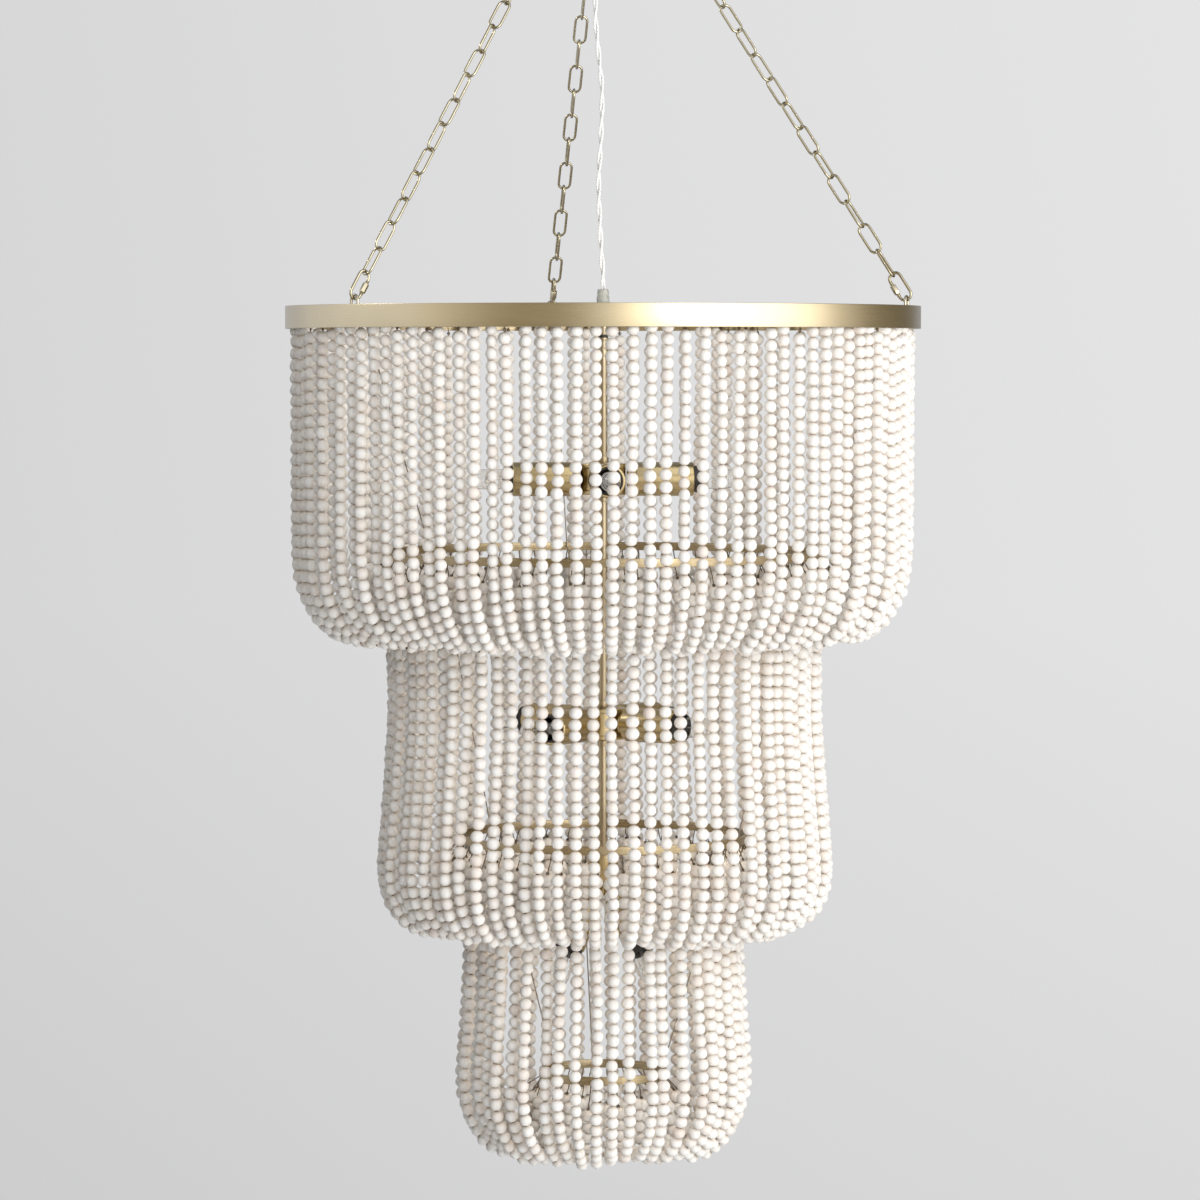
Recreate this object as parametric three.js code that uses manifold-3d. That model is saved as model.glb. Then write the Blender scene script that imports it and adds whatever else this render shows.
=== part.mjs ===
// A three-tier beaded chandelier: brass rings hung one below the other, bead strands draped
// from ring to ring, three clusters of four lamps on a central stem, and three chains up to
// a ceiling canopy. Millimetres, +Z up. The origin is the centre of the ceiling bracket's
// top face. An azimuth of 0 faces the viewer (-Y) and grows towards +X.
import * as THREE from 'three';
import { mergeVertices } from 'three/addons/utils/BufferGeometryUtils.js';
import Module from 'manifold-3d';

const wasm = await Module();
wasm.setup();

// Clearances
const gap = 0.3;
const chainSlack = 0.4;

// Ceiling bracket and canopy
const bracketEndClearance = 7;
const bracketWidth = 20;
const bracketThickness = 2.5;
const bracketSlotMargin = 10.55;
const bracketSlotWidth = 5;
const bracketSlotLength = 9;
const bossRadius = 8;
const bossDepth = 12;
const threadDepth = 8;
const canopyRadius = 63.5;
const canopyDepth = 24;
const canopySheet = 1.5;
const canopyCorner = 6;
const cordHoleRadius = 5;
const cordHoleAzimuth = 250;
const cordHoleOffset = 24;
const bushingFlange = 6.8;
const bushingFlangeHeight = 1.6;
const bushingNeck = 4.6;

// Hanging loop, its collar and the ring that gathers the chains
const shankRadius = 5;
const collarRadius = 12;
const collarHeight = 8;
const loopShoulderRadius = 9;
const loopShoulderHeight = 4;
const loopMeanRadius = 13;
const loopWireRadius = 2.5;
const masterMeanRadius = 20;
const masterWireRadius = 2.5;

// Chains: link sizes are outside sizes
const linkLength = 33.6;
const linkWidth = 14.5;
const linkWireRadius = 1.3;
const linkBite = 0.3;
const linkCount = 19;
const quickLinkLength = 33;
const quickLinkWidth = 15;
const quickLinkWireRadius = 1.5;
const sleeveNutRadius = 3.1;
const sleeveNutLength = 10;
const chains = [
  { name: 'left', azimuth: -50, seat: -16 },
  { name: 'right', azimuth: 73, seat: -2 },
  { name: 'back', azimuth: 190, seat: 19 },
];

// Top ring: a wide band with an inner flange, eyes for the chains, spokes and a hub
const topRingRadius = 316;
const topRingHeight = 22.5;
const topRingSides = 48;
const bandThickness = 3;
const flangeWidth = 14.5;
const flangeThickness = 2.5;
const flangeDepth = 12;
const eyeSetback = 3;
const eyeWireRadius = 1.5;
const eyeHeight = 8.5;
const eyeWidth = 10;
const spokeRadius = 3.5;
const spokeDepth = 10.5;
const topHubRadius = 15;
const topHubHeight = 11;

// Smaller rings: depths are of their middles, below the top ring's upper edge, and drops are
// from the middle of the ring above
const smallBandHeight = 8.5;
const middleRingRadius = 222;
const middleRingDepth = 247;
const lowerRingRadius = 145;
const lowerRingDrop = 283;
const lowerRingDepth = middleRingDepth + lowerRingDrop;
const bottomRingRadius = 64;
const bottomRingDrop = 237;
const bottomRingDepth = lowerRingDepth + bottomRingDrop;
const smallRings = [
  { name: 'middle_ring', radius: middleRingRadius, depth: middleRingDepth, sides: 48 },
  { name: 'lower_ring', radius: lowerRingRadius, depth: lowerRingDepth, sides: 40 },
  { name: 'bottom_ring', radius: bottomRingRadius, depth: bottomRingDepth, sides: 28 },
];

// Bead strands: each falls from one ring, turns below the next one and rises to it. Drapes
// and sags are how far the turn and the widest place lie below the inner ring's middle.
const shellThickness = 11;
const fluteDepth = 3;
const strandsPerFlute = 3;
const strandInset = 5;
const strandOutset = 7;
const upperDrape = 80;
const upperSag = 8;
const middleDrape = 86;
const middleSag = 33;
const middleWaist = 6;
const middleBulge = 4.5;
const lowerDrape = 77;
const lowerSag = 5;
const lowerWaist = 4;
const lowerBulge = 3.5;
const tiers = [
  {
    name: 'upper_strands', strands: 116, sectors: ['right', 'back', 'left'],
    drape: upperDrape, sag: upperSag, waist: 0, bulge: 0,
  },
  {
    name: 'middle_strands', strands: 84, sectors: ['right', 'back', 'left'],
    drape: middleDrape, sag: middleSag, waist: middleWaist, bulge: middleBulge,
  },
  {
    name: 'lower_strands', strands: 54, sectors: ['right', 'left'],
    drape: lowerDrape, sag: lowerSag, waist: lowerWaist, bulge: lowerBulge,
  },
];

// Wires that carry the smaller rings
const hangerWireRadius = 0.7;
const hangerWireReach = 12;

// Stem and strain relief
const stemRadius = 4.5;
const stemBore = 3;
const couplingRadius = 7;
const couplingHeight = 12;
const couplingNeckRadius = 3;
const couplingNeckHeight = 3;
const couplingFootRadius = 5.5;
const couplingFootHeight = 11;
const reliefBaseRadius = 8.5;
const reliefTopRadius = 5.5;
const reliefHeight = 21.5;

// Lamp clusters: depths are of the hubs' middles, drops are from the ring above each, and
// tilts are the sockets' angles from level
const socketReach = 98;
const socketWall = 2.5;
const socketCupDepth = 28;
const socketNeckLength = 6;
const screwShellRadius = 6;
const screwShellLength = 22;
const bulbRadius = 10;
const bulbReach = 38;
const hubRadius = 23.5;
const hubHeight = 31;
const cupRadius = 17;
const neckRadius = 10;
const coneHubRadius = 15;
const coneHubHeight = 30;
const coneCupRadius = 14;
const coneNeckRadius = 5.5;
const upperClusterDepth = 172;
const middleClusterDrop = 169;
const bottomClusterDrop = 30;
const levelLamps = { tilt: 0, radius: hubRadius, height: hubHeight, cup: cupRadius, neck: neckRadius };
const tiltedLamps = {
  tilt: 58, radius: coneHubRadius, height: coneHubHeight, cup: coneCupRadius, neck: coneNeckRadius,
};
const clusters = [
  { name: 'upper', depth: upperClusterDepth, azimuth: 3.5, ...levelLamps },
  { name: 'middle', depth: middleRingDepth + middleClusterDrop, azimuth: 55, ...levelLamps },
  { name: 'bottom', depth: lowerRingDepth + bottomClusterDrop, azimuth: -42, ...tiltedLamps },
];
const lampsPerCluster = 4;
const lampSides = 10;
const coneSeat = 20;
const coneNeckLength = 20;
const finialRadius = 4;
const finialHeight = 6;

// Power cord: chosen points, as sideways (x), forward (y) and height above the top ring
const cordRadius = 3;
const cordSides = 8;
const cordEntry = 14;
const cordStraight = 34;
const cordRun = [
  [0, 0, 30],
  [-1.6, 0.5, 54.8],
  [-3.4, 1, 89.3],
  [-4.3, 1.5, 123.6],
  [-2, 1, 169.5],
  [-1.1, 1, 215.5],
  [-4.3, 2, 249.9],
  [-7.3, 3, 284.3],
  [-7.6, 4, 320],
  [-8.6, 4.5, 360],
  [-11, 5.2, 400],
  [-15, 6.2, 440],
];

const rad = (degrees) => (degrees * Math.PI) / 180;

function spot(radius, azimuth, z) {
  const turn = rad(azimuth);
  return new THREE.Vector3(radius * Math.sin(turn), -radius * Math.cos(turn), z);
}

// Helpers for closed bodies
function signedVolume(positions, index) {
  const [a, b, c] = [new THREE.Vector3(), new THREE.Vector3(), new THREE.Vector3()];
  let sum = 0;
  for (let i = 0; i < index.length; i += 3) {
    a.fromArray(positions, 3 * index[i]);
    b.fromArray(positions, 3 * index[i + 1]);
    c.fromArray(positions, 3 * index[i + 2]);
    sum += a.dot(b.cross(c)) / 6;
  }
  return sum;
}

// The same surface with shared vertices merged, no empty triangles and its faces outwards.
function closedBody(geometry) {
  const bare = geometry.clone();
  bare.deleteAttribute('normal');
  bare.deleteAttribute('uv');
  const merged = mergeVertices(bare, 1e-3);
  const source = merged.index.array;
  const index = [];
  for (let i = 0; i < source.length; i += 3) {
    const [a, b, c] = [source[i], source[i + 1], source[i + 2]];
    if (a !== b && b !== c && c !== a) index.push(a, b, c);
  }
  if (signedVolume(merged.attributes.position.array, index) < 0) index.reverse();
  merged.setIndex(index);
  return merged;
}

function toSolid(geometry) {
  const body = closedBody(geometry);
  return new wasm.Manifold(new wasm.Mesh({
    numProp: 3,
    vertProperties: new Float32Array(body.attributes.position.array),
    triVerts: new Uint32Array(body.index.array),
  }));
}

function toGeometry(solid) {
  const mesh = solid.getMesh();
  const geometry = new THREE.BufferGeometry();
  geometry.setAttribute('position', new THREE.BufferAttribute(mesh.vertProperties, 3));
  geometry.setIndex(new THREE.BufferAttribute(mesh.triVerts, 1));
  return geometry;
}

function fuse(geometries) {
  return toGeometry(geometries.map(toSolid).reduce((whole, piece) => whole.add(piece)));
}

function cut(body, tools) {
  return toGeometry(tools.map(toSolid).reduce((left, tool) => left.subtract(tool), toSolid(body)));
}

// A body turned about Z from [radius, height] points.
function turned(points, sides) {
  const profile = points.map(([radius, z]) => new THREE.Vector2(radius, z));
  return new THREE.LatheGeometry(profile, sides).rotateX(Math.PI / 2);
}

function turnedRing(points, sides) {
  return turned([...points, points[0]], sides);
}

function rod(radius, length, sides) {
  return new THREE.CylinderGeometry(radius, radius, length, sides).rotateX(Math.PI / 2);
}

// A skin through rings of points with equal counts, closed in a loop or capped at both ends.
function loft(rings, looped) {
  const count = rings[0].length;
  const positions = rings.flat().flatMap((point) => point.toArray());
  const index = [];
  const quad = (a, b, c, d) => index.push(a, b, c, a, c, d);
  const spans = looped ? rings.length : rings.length - 1;
  for (let i = 0; i < spans; i++) {
    const here = i * count;
    const next = ((i + 1) % rings.length) * count;
    for (let j = 0; j < count; j++) {
      const k = (j + 1) % count;
      quad(here + j, here + k, next + k, next + j);
    }
  }
  const last = (rings.length - 1) * count;
  for (let j = 0; !looped && j < count / 2 - 1; j++) {
    const mate = count - 1 - j;
    quad(j, mate, mate - 1, j + 1);
    quad(last + j, last + j + 1, last + mate - 1, last + mate);
  }
  const geometry = new THREE.BufferGeometry();
  geometry.setAttribute('position', new THREE.Float32BufferAttribute(positions, 3));
  geometry.setIndex(index);
  return geometry;
}

// Points at a distance on both sides of a flat path, with mitred corners.
function offsetPath(points, distance, looped) {
  const count = points.length;
  const edge = (from, to) => new THREE.Vector2().subVectors(points[to], points[from]).normalize();
  return points.map((point, i) => {
    const before = looped || i > 0 ? edge((i - 1 + count) % count, i) : edge(i, i + 1);
    const after = looped || i < count - 1 ? edge(i, (i + 1) % count) : before;
    const along = before.clone().add(after).normalize();
    const stretch = 1 / Math.max(along.dot(before), 0.5);
    const side = new THREE.Vector2(along.y, -along.x).multiplyScalar(distance * stretch);
    return { plus: point.clone().add(side), minus: point.clone().sub(side) };
  });
}

// One link: a long octagon of square wire. long and normal are unit vectors.
function linkGeometry(centre, long, normal, length, width, wire) {
  const side = new THREE.Vector3().crossVectors(long, normal);
  const a = length / 2 - wire;
  const b = width / 2 - wire;
  const corners = [[a, b / 2], [a - 0.7 * b, b], [-a + 0.7 * b, b], [-a, b / 2]];
  const outline = [...corners, ...corners.map(([x, y]) => [-x, -y])]
    .map(([x, y]) => new THREE.Vector2(x, y));
  const place = (flat, lift) => centre.clone()
    .addScaledVector(long, flat.x)
    .addScaledVector(side, flat.y)
    .addScaledVector(normal, lift);
  const rings = offsetPath(outline, wire, true).map(({ plus, minus }) => [
    place(plus, wire),
    place(minus, wire),
    place(minus, -wire),
    place(plus, -wire),
  ]);
  return loft(rings, true);
}

// Places and levels that follow from the sizes above
const bracketLength = 2 * (canopyRadius - canopySheet - bracketEndClearance);
const bracketSlotSpacing = bracketLength - 2 * bracketSlotMargin;
const eyeRadius = topRingRadius - bandThickness - eyeSetback;
const collarTop = -canopyDepth - gap;
const shoulderTop = collarTop - collarHeight - gap;
const loopCentre = shoulderTop - loopShoulderHeight - loopMeanRadius - loopWireRadius / 2;
const loopBottom = loopCentre - loopMeanRadius;
const masterCentre = loopBottom + loopWireRadius + gap + masterWireRadius - masterMeanRadius;
const seats = chains.map(({ seat }) => {
  const turn = rad(seat);
  const across = masterMeanRadius * Math.sin(turn);
  return new THREE.Vector3(0, across, masterCentre - masterMeanRadius * Math.cos(turn));
});
const quickLinkFoot = eyeWireRadius + gap + quickLinkWireRadius;
const quickLinkBarSpan = quickLinkLength - 2 * quickLinkWireRadius;
const firstLinkFoot = quickLinkBarSpan - quickLinkFoot - quickLinkWireRadius - gap - linkWireRadius;
const linkBarSpan = linkLength - 2 * linkWireRadius;
const linkPitch = linkLength - 4 * linkWireRadius + linkBite;
const lastLinkOverhang = masterWireRadius + chainSlack + linkWireRadius;
const chainEnds = firstLinkFoot + linkBarSpan - lastLinkOverhang;
const chainReach = chainEnds + (linkCount - 1) * linkPitch;
const mean = (values) => values.reduce((sum, value) => sum + value, 0) / values.length;
const eyeSpread = mean(chains.map(({ azimuth }, i) => {
  const eye = spot(eyeRadius, azimuth, 0);
  return Math.hypot(eye.x - seats[i].x, eye.y - seats[i].y);
}));
const seatLevel = mean(seats.map((seat) => seat.z));
const eyeLevel = seatLevel - Math.sqrt(chainReach ** 2 - eyeSpread ** 2);
const ringTop = eyeLevel - eyeHeight;
const below = (depth) => ringTop - depth;

const flangeBottom = flangeDepth + flangeThickness;
const hubTop = below(spokeDepth - topHubHeight / 2);
const hubBottom = hubTop - topHubHeight;
const couplingTop = hubBottom - gap;
const couplingBottom = couplingTop - couplingHeight - couplingNeckHeight - couplingFootHeight;
const reliefTop = hubTop + gap + reliefHeight;

// Finishes
const finish = (color, roughness, metalness, more = {}) => new THREE.MeshStandardMaterial({
  color, roughness, metalness, ...more,
});
const brass = finish(0xb89c6c, 0.35, 1);
const steel = finish(0xb8b8b4, 0.4, 1);
const darkWire = finish(0x4a3a28, 0.5, 1);
const beads = finish(0xece4d8, 0.8, 0);
const glass = finish(0xf2f4f4, 0.05, 0, { transparent: true, opacity: 0.35 });
const rubber = finish(0x55524e, 0.7, 0);
const greyPlastic = finish(0xb9b8b4, 0.4, 0);
const clearPlastic = finish(0xdcdcd8, 0.25, 0);

const chandelier = new THREE.Group();

function add(name, geometry, material, position, direction) {
  const mesh = new THREE.Mesh(closedBody(geometry), material);
  mesh.name = name;
  if (position) mesh.position.copy(position);
  if (direction) mesh.quaternion.setFromUnitVectors(new THREE.Vector3(0, 0, 1), direction);
  chandelier.add(mesh);
  return mesh;
}

// Ceiling fittings
function bracketGeometry() {
  const bar = new THREE.BoxGeometry(bracketLength, bracketWidth, bracketThickness)
    .translate(0, 0, -bracketThickness / 2);
  const boreTop = threadDepth - bossDepth;
  const boss = turned([
    [0, -bracketThickness / 2],
    [bossRadius, -bracketThickness / 2],
    [bossRadius, -bossDepth],
    [shankRadius + gap, -bossDepth],
    [shankRadius + gap, boreTop],
    [0, boreTop],
  ], 20);
  const slots = [-1, 1].map((end) => new THREE.BoxGeometry(
    bracketSlotLength, bracketSlotWidth, 4 * bracketThickness,
  ).translate((end * bracketSlotSpacing) / 2, 0, 0));
  return cut(fuse([bar, boss]), slots);
}

function canopyGeometry() {
  const shank = shankRadius + gap;
  const inner = canopyRadius - canopySheet;
  const dish = turnedRing([
    [canopyRadius, 0],
    [canopyRadius, canopyCorner - canopyDepth],
    [canopyRadius - canopyCorner, -canopyDepth],
    [shank, -canopyDepth],
    [shank, canopySheet - canopyDepth],
    [inner - canopyCorner, canopySheet - canopyDepth],
    [inner, canopySheet + canopyCorner - canopyDepth],
    [inner, 0],
  ], 32);
  const hole = rod(cordHoleRadius, 4 * canopySheet, 12)
    .translate(...spot(cordHoleOffset, cordHoleAzimuth, -canopyDepth).toArray());
  return cut(dish, [hole]);
}

function loopGeometry() {
  const shankTop = threadDepth - bossDepth - gap;
  const shoulderBottom = shoulderTop - loopShoulderHeight;
  const shank = turned([
    [0, shankTop],
    [shankRadius, shankTop],
    [shankRadius, shoulderTop],
    [loopShoulderRadius, shoulderTop],
    [loopShoulderRadius, shoulderBottom],
    [0, shoulderBottom],
  ], 16);
  const eye = new THREE.TorusGeometry(loopMeanRadius, loopWireRadius, 8, 20)
    .rotateX(Math.PI / 2)
    .translate(0, 0, loopCentre);
  return fuse([shank, eye]);
}

function bushingGeometry() {
  const sheetTop = canopySheet - canopyDepth;
  const bore = cordRadius + gap;
  return turnedRing([
    [bore, sheetTop + gap + bushingFlangeHeight],
    [bushingFlange, sheetTop + gap + bushingFlangeHeight],
    [bushingFlange, sheetTop + gap],
    [bushingNeck, sheetTop + gap],
    [bushingNeck, -canopyDepth - gap],
    [bushingFlange, -canopyDepth - gap],
    [bushingFlange, -canopyDepth - gap - bushingFlangeHeight],
    [bore, -canopyDepth - gap - bushingFlangeHeight],
  ], 12);
}

function addCeilingFittings() {
  add('ceiling_bracket', bracketGeometry(), steel);
  add('ceiling_canopy', canopyGeometry(), brass);
  add('hanging_loop', loopGeometry(), brass);
  add('loop_collar', turnedRing([
    [shankRadius + gap, collarTop],
    [collarRadius, collarTop],
    [collarRadius, collarTop - collarHeight],
    [shankRadius + gap, collarTop - collarHeight],
  ], 20), brass);
  add('cord_bushing', bushingGeometry(), rubber, spot(cordHoleOffset, cordHoleAzimuth, 0));
  add('master_ring', new THREE.TorusGeometry(masterMeanRadius, masterWireRadius, 8, 24)
    .rotateY(Math.PI / 2), brass, new THREE.Vector3(0, 0, masterCentre));
}

// One chain and its quick link, between an eye on the top ring and the master ring
function addChain({ name, azimuth }, seat) {
  const eye = spot(eyeRadius, azimuth, eyeLevel);
  const line = new THREE.Vector3().subVectors(seat, eye);
  const reach = line.length();
  const up = line.normalize();
  const at = (distance) => eye.clone().addScaledVector(up, distance);
  const across = (vector) => vector.addScaledVector(up, -vector.dot(up)).normalize();

  const quickNormal = across(spot(1, azimuth + 90, 0));
  const quickCentre = at(quickLinkBarSpan / 2 - quickLinkFoot);
  const quickSide = new THREE.Vector3().crossVectors(up, quickNormal);
  const nut = rod(sleeveNutRadius, sleeveNutLength, 6);
  nut.applyQuaternion(new THREE.Quaternion().setFromUnitVectors(new THREE.Vector3(0, 0, 1), up));
  nut.translate(...quickCentre.clone()
    .addScaledVector(quickSide, quickLinkWidth / 2 - quickLinkWireRadius).toArray());
  add(`quick_link_${name}`, fuse([
    linkGeometry(quickCentre, up, quickNormal, quickLinkLength, quickLinkWidth, quickLinkWireRadius),
    nut,
  ]), brass);

  // Neighbouring links stand nearly square to each other, and the top one hangs square to
  // the master ring's wire, so each turns by a quarter plus an equal small share.
  const topNormal = across(new THREE.Vector3(0, 1, 0));
  const wanted = Math.atan2(quickSide.dot(topNormal), quickNormal.dot(topNormal));
  const quarter = Math.PI / 2;
  const rest = wanted - linkCount * quarter;
  const share = (rest - Math.PI * Math.round(rest / Math.PI)) / (linkCount - 1);
  const pitch = (reach - chainEnds) / (linkCount - 1);
  const links = [];
  for (let i = 0; i < linkCount; i++) {
    const turn = quarter * (i + 1) + share * i;
    const normal = quickNormal.clone().multiplyScalar(Math.cos(turn))
      .addScaledVector(quickSide, Math.sin(turn));
    const centre = at(firstLinkFoot + linkBarSpan / 2 + i * pitch);
    links.push(linkGeometry(centre, up, normal, linkLength, linkWidth, linkWireRadius));
  }
  add(`chain_${name}`, fuse(links), brass);
}

// Rings
function eyeGeometry(azimuth) {
  const legHeight = eyeHeight + flangeDepth + flangeThickness / 2;
  const legs = [-1, 1].map((end) => rod(eyeWireRadius, legHeight, 6)
    .translate((end * eyeWidth) / 2, 0, -legHeight / 2));
  const bar = new THREE.CylinderGeometry(
    eyeWireRadius, eyeWireRadius, eyeWidth + 2 * eyeWireRadius, 6,
  ).rotateZ(Math.PI / 2);
  return [...legs, bar].map((piece) => piece
    .rotateZ(rad(azimuth))
    .translate(...spot(eyeRadius, azimuth, eyeLevel).toArray()));
}

function topRingGeometry() {
  const inner = topRingRadius - bandThickness;
  const band = turnedRing([
    [topRingRadius, below(0)],
    [topRingRadius, below(topRingHeight)],
    [inner, below(topRingHeight)],
    [inner, below(flangeBottom)],
    [inner - flangeWidth, below(flangeBottom)],
    [inner - flangeWidth, below(flangeDepth)],
    [inner, below(flangeDepth)],
    [inner, below(0)],
  ], topRingSides);
  const hub = rod(topHubRadius, topHubHeight, 20).translate(0, 0, hubTop - topHubHeight / 2);
  const spokes = chains.map(({ azimuth }) => rod(spokeRadius, inner, 8)
    .rotateX(Math.PI / 2)
    .translate(0, -inner / 2, below(spokeDepth))
    .rotateZ(rad(azimuth)));
  const eyes = chains.flatMap(({ azimuth }) => eyeGeometry(azimuth));
  return fuse([band, hub, ...spokes, ...eyes]);
}

function addRings() {
  add('top_ring', topRingGeometry(), brass);
  for (const { name, radius, depth, sides } of smallRings) {
    add(name, turnedRing([
      [radius, smallBandHeight / 2],
      [radius, -smallBandHeight / 2],
      [radius - bandThickness, -smallBandHeight / 2],
      [radius - bandThickness, smallBandHeight / 2],
    ], sides), brass, new THREE.Vector3(0, 0, below(depth)));
  }
}

// A wire from under a spoke past the inside of each smaller ring to the top of the last one
function hangerWireGeometry(azimuth) {
  const clear = gap + hangerWireRadius;
  const [middle, lower, bottom] = smallRings;
  const inside = (radius, sides) => radius * Math.cos(Math.PI / sides) - clear;
  const start = inside(topRingRadius - bandThickness - flangeWidth, topRingSides);
  const route = [[start, spokeDepth + spokeRadius + gap], [start, flangeBottom + 4]];
  for (const { radius, depth, sides } of [middle, lower]) {
    const beside = inside(radius - bandThickness, sides);
    route.push([beside, depth - smallBandHeight / 2 - 1]);
    route.push([beside, depth]);
    route.push([beside - hangerWireReach, depth + smallBandHeight / 2]);
    route.push([beside - hangerWireReach - 2, depth + smallBandHeight * 2]);
  }
  const end = bottom.radius - bandThickness / 2;
  route.push([end, bottom.depth - smallBandHeight]);
  route.push([end, bottom.depth - smallBandHeight / 2 - gap]);
  const path = route.map(([radius, depth]) => new THREE.Vector2(radius, below(depth)));
  const aside = spot(1, azimuth + 90, 0);
  const place = ({ x, y }, lift) => spot(x, azimuth, y).addScaledVector(aside, lift);
  return loft(offsetPath(path, hangerWireRadius, false).map(({ plus, minus }) => [
    place(plus, hangerWireRadius),
    place(minus, hangerWireRadius),
    place(minus, -hangerWireRadius),
    place(plus, -hangerWireRadius),
  ]), false);
}

// The fall, the turn and the rise of a tier's strands, as [radius, z] points on their middle line
function strandPath(tierIndex) {
  const { drape, sag, waist, bulge } = tiers[tierIndex];
  const inner = smallRings[tierIndex];
  const outer = smallRings[tierIndex - 1];
  const hangRadius = outer ? outer.radius - strandInset : topRingRadius - 2 * strandInset;
  const hangDepth = (outer ? outer.depth + smallBandHeight / 2 : flangeBottom) + gap;
  const belly = hangRadius + bulge;
  const bellyDepth = inner.depth + sag;
  const rise = inner.radius + strandOutset;
  const middle = (belly + rise) / 2;
  const half = (belly - rise) / 2;
  const at = (radius, depth) => new THREE.Vector2(radius, below(depth));
  const outward = (turn) => at(
    middle + half * Math.cos(turn), bellyDepth + (drape - sag) * Math.sin(turn),
  );
  const inward = (turn) => at(
    middle - half * Math.cos(turn), inner.depth + drape * Math.sin(turn),
  );
  return [
    at(hangRadius, hangDepth),
    at(hangRadius - waist, (hangDepth + bellyDepth) / 2),
    outward(0),
    outward(Math.PI / 4),
    outward(Math.PI / 2),
    inward(Math.PI / 4),
    inward(Math.asin((smallBandHeight / 2 + gap) / drape)),
  ];
}

function strandSectorGeometry(tierIndex, first, last, flutes) {
  const path = strandPath(tierIndex);
  const step = 180 / flutes;
  const parting = (gap / path[path.length - 1].x) * (180 / Math.PI);
  const rings = [];
  for (let i = 2 * first; i <= 2 * last; i++) {
    const half = shellThickness / 2 - (i % 2 ? 0 : fluteDepth);
    const nudge = i === 2 * first ? parting : i === 2 * last ? -parting : 0;
    const walls = offsetPath(path, half, false);
    const outline = [
      ...walls.map(({ plus }) => plus),
      ...walls.map(({ minus }) => minus).reverse(),
    ];
    rings.push(outline.map(({ x, y }) => spot(x, i * step + nudge, y)));
  }
  return loft(rings, false);
}

function addStrands() {
  tiers.forEach(({ name, strands, sectors }, tierIndex) => {
    const flutes = Math.round(strands / strandsPerFlute);
    sectors.forEach((side, i) => {
      const first = Math.round((i * flutes) / sectors.length);
      const last = Math.round(((i + 1) * flutes) / sectors.length);
      add(`${name}_${side}`, strandSectorGeometry(tierIndex, first, last, flutes), beads);
    });
  });
}

// Stem and lamp clusters
function addStem() {
  add('strain_relief', turned([
    [0, hubTop + gap],
    [reliefBaseRadius, hubTop + gap],
    [reliefTopRadius, reliefTop],
    [0, reliefTop],
  ], 16), greyPlastic);
  const neckTop = couplingTop - couplingHeight;
  const footTop = neckTop - couplingNeckHeight;
  add('stem_coupling', turned([
    [0, couplingTop],
    [couplingRadius, couplingTop],
    [couplingRadius, neckTop],
    [couplingNeckRadius, neckTop],
    [couplingNeckRadius, footTop],
    [couplingFootRadius, footTop],
    [couplingFootRadius, couplingBottom],
    [0, couplingBottom],
  ], 16), brass);
  let top = couplingBottom - gap;
  for (const { name, depth, height } of clusters) {
    const bottom = below(depth) + height / 2 + gap;
    const label = name === 'bottom' ? 'lower_stem' : `${name}_stem`;
    add(label, turnedRing([
      [stemRadius, top],
      [stemRadius, bottom],
      [stemBore, bottom],
      [stemBore, top],
    ], 12), brass);
    top = below(depth) - height / 2 - gap;
  }
}

function hubProfile({ radius, height, tilt }) {
  const half = height / 2;
  if (tilt === 0) return [[0, half], [radius, half], [radius, -half], [0, -half]];
  // The cone's face stands square to the sockets' lines, a seat's distance from the centre.
  const slope = Math.tan(rad(90 - tilt));
  const touch = coneSeat / Math.sin(rad(tilt));
  const finialTop = slope * finialRadius - touch;
  return [
    [0, half],
    [radius, half],
    [radius, slope * radius - touch],
    [finialRadius, finialTop],
    [finialRadius, finialTop - finialHeight],
    [0, finialTop - finialHeight - finialRadius / 2],
  ];
}

function addCluster(cluster) {
  const { name, depth, azimuth, tilt, radius, cup, neck } = cluster;
  const centre = new THREE.Vector3(0, 0, below(depth));
  add(`${name}_hub`, turned(hubProfile(cluster), 20), brass, centre);
  const seat = (tilt === 0 ? radius : coneSeat) + gap;
  const cupStart = seat + (tilt === 0 ? socketNeckLength : coneNeckLength);
  const cupFloor = socketReach - socketCupDepth;
  const shellStart = cupFloor - screwShellLength;
  const shellBore = screwShellRadius + 2 * gap;
  const socket = [
    [0, seat],
    [neck, seat],
    [neck, cupStart],
    [cup, cupStart],
    [cup, socketReach],
    [cup - socketWall, socketReach],
    [cup - socketWall, cupFloor],
    [shellBore, cupFloor],
    [shellBore, shellStart],
    [0, shellStart],
  ];
  const tip = socketReach + bulbReach;
  const bulb = [
    [0, shellStart + gap],
    [screwShellRadius, shellStart + gap],
    [screwShellRadius, cupFloor + 1],
    [bulbRadius, cupFloor + 6],
    [bulbRadius, tip - bulbRadius],
    [bulbRadius / 2, tip - 1.5],
    [0, tip],
  ];
  for (let i = 0; i < lampsPerCluster; i++) {
    const direction = spot(Math.cos(rad(tilt)), azimuth + (360 * i) / lampsPerCluster,
      -Math.sin(rad(tilt)));
    add(`${name}_socket_${i + 1}`, turned(socket, lampSides), brass, centre, direction);
    add(`${name}_bulb_${i + 1}`, turned(bulb, lampSides), glass, centre, direction);
  }
}

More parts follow.
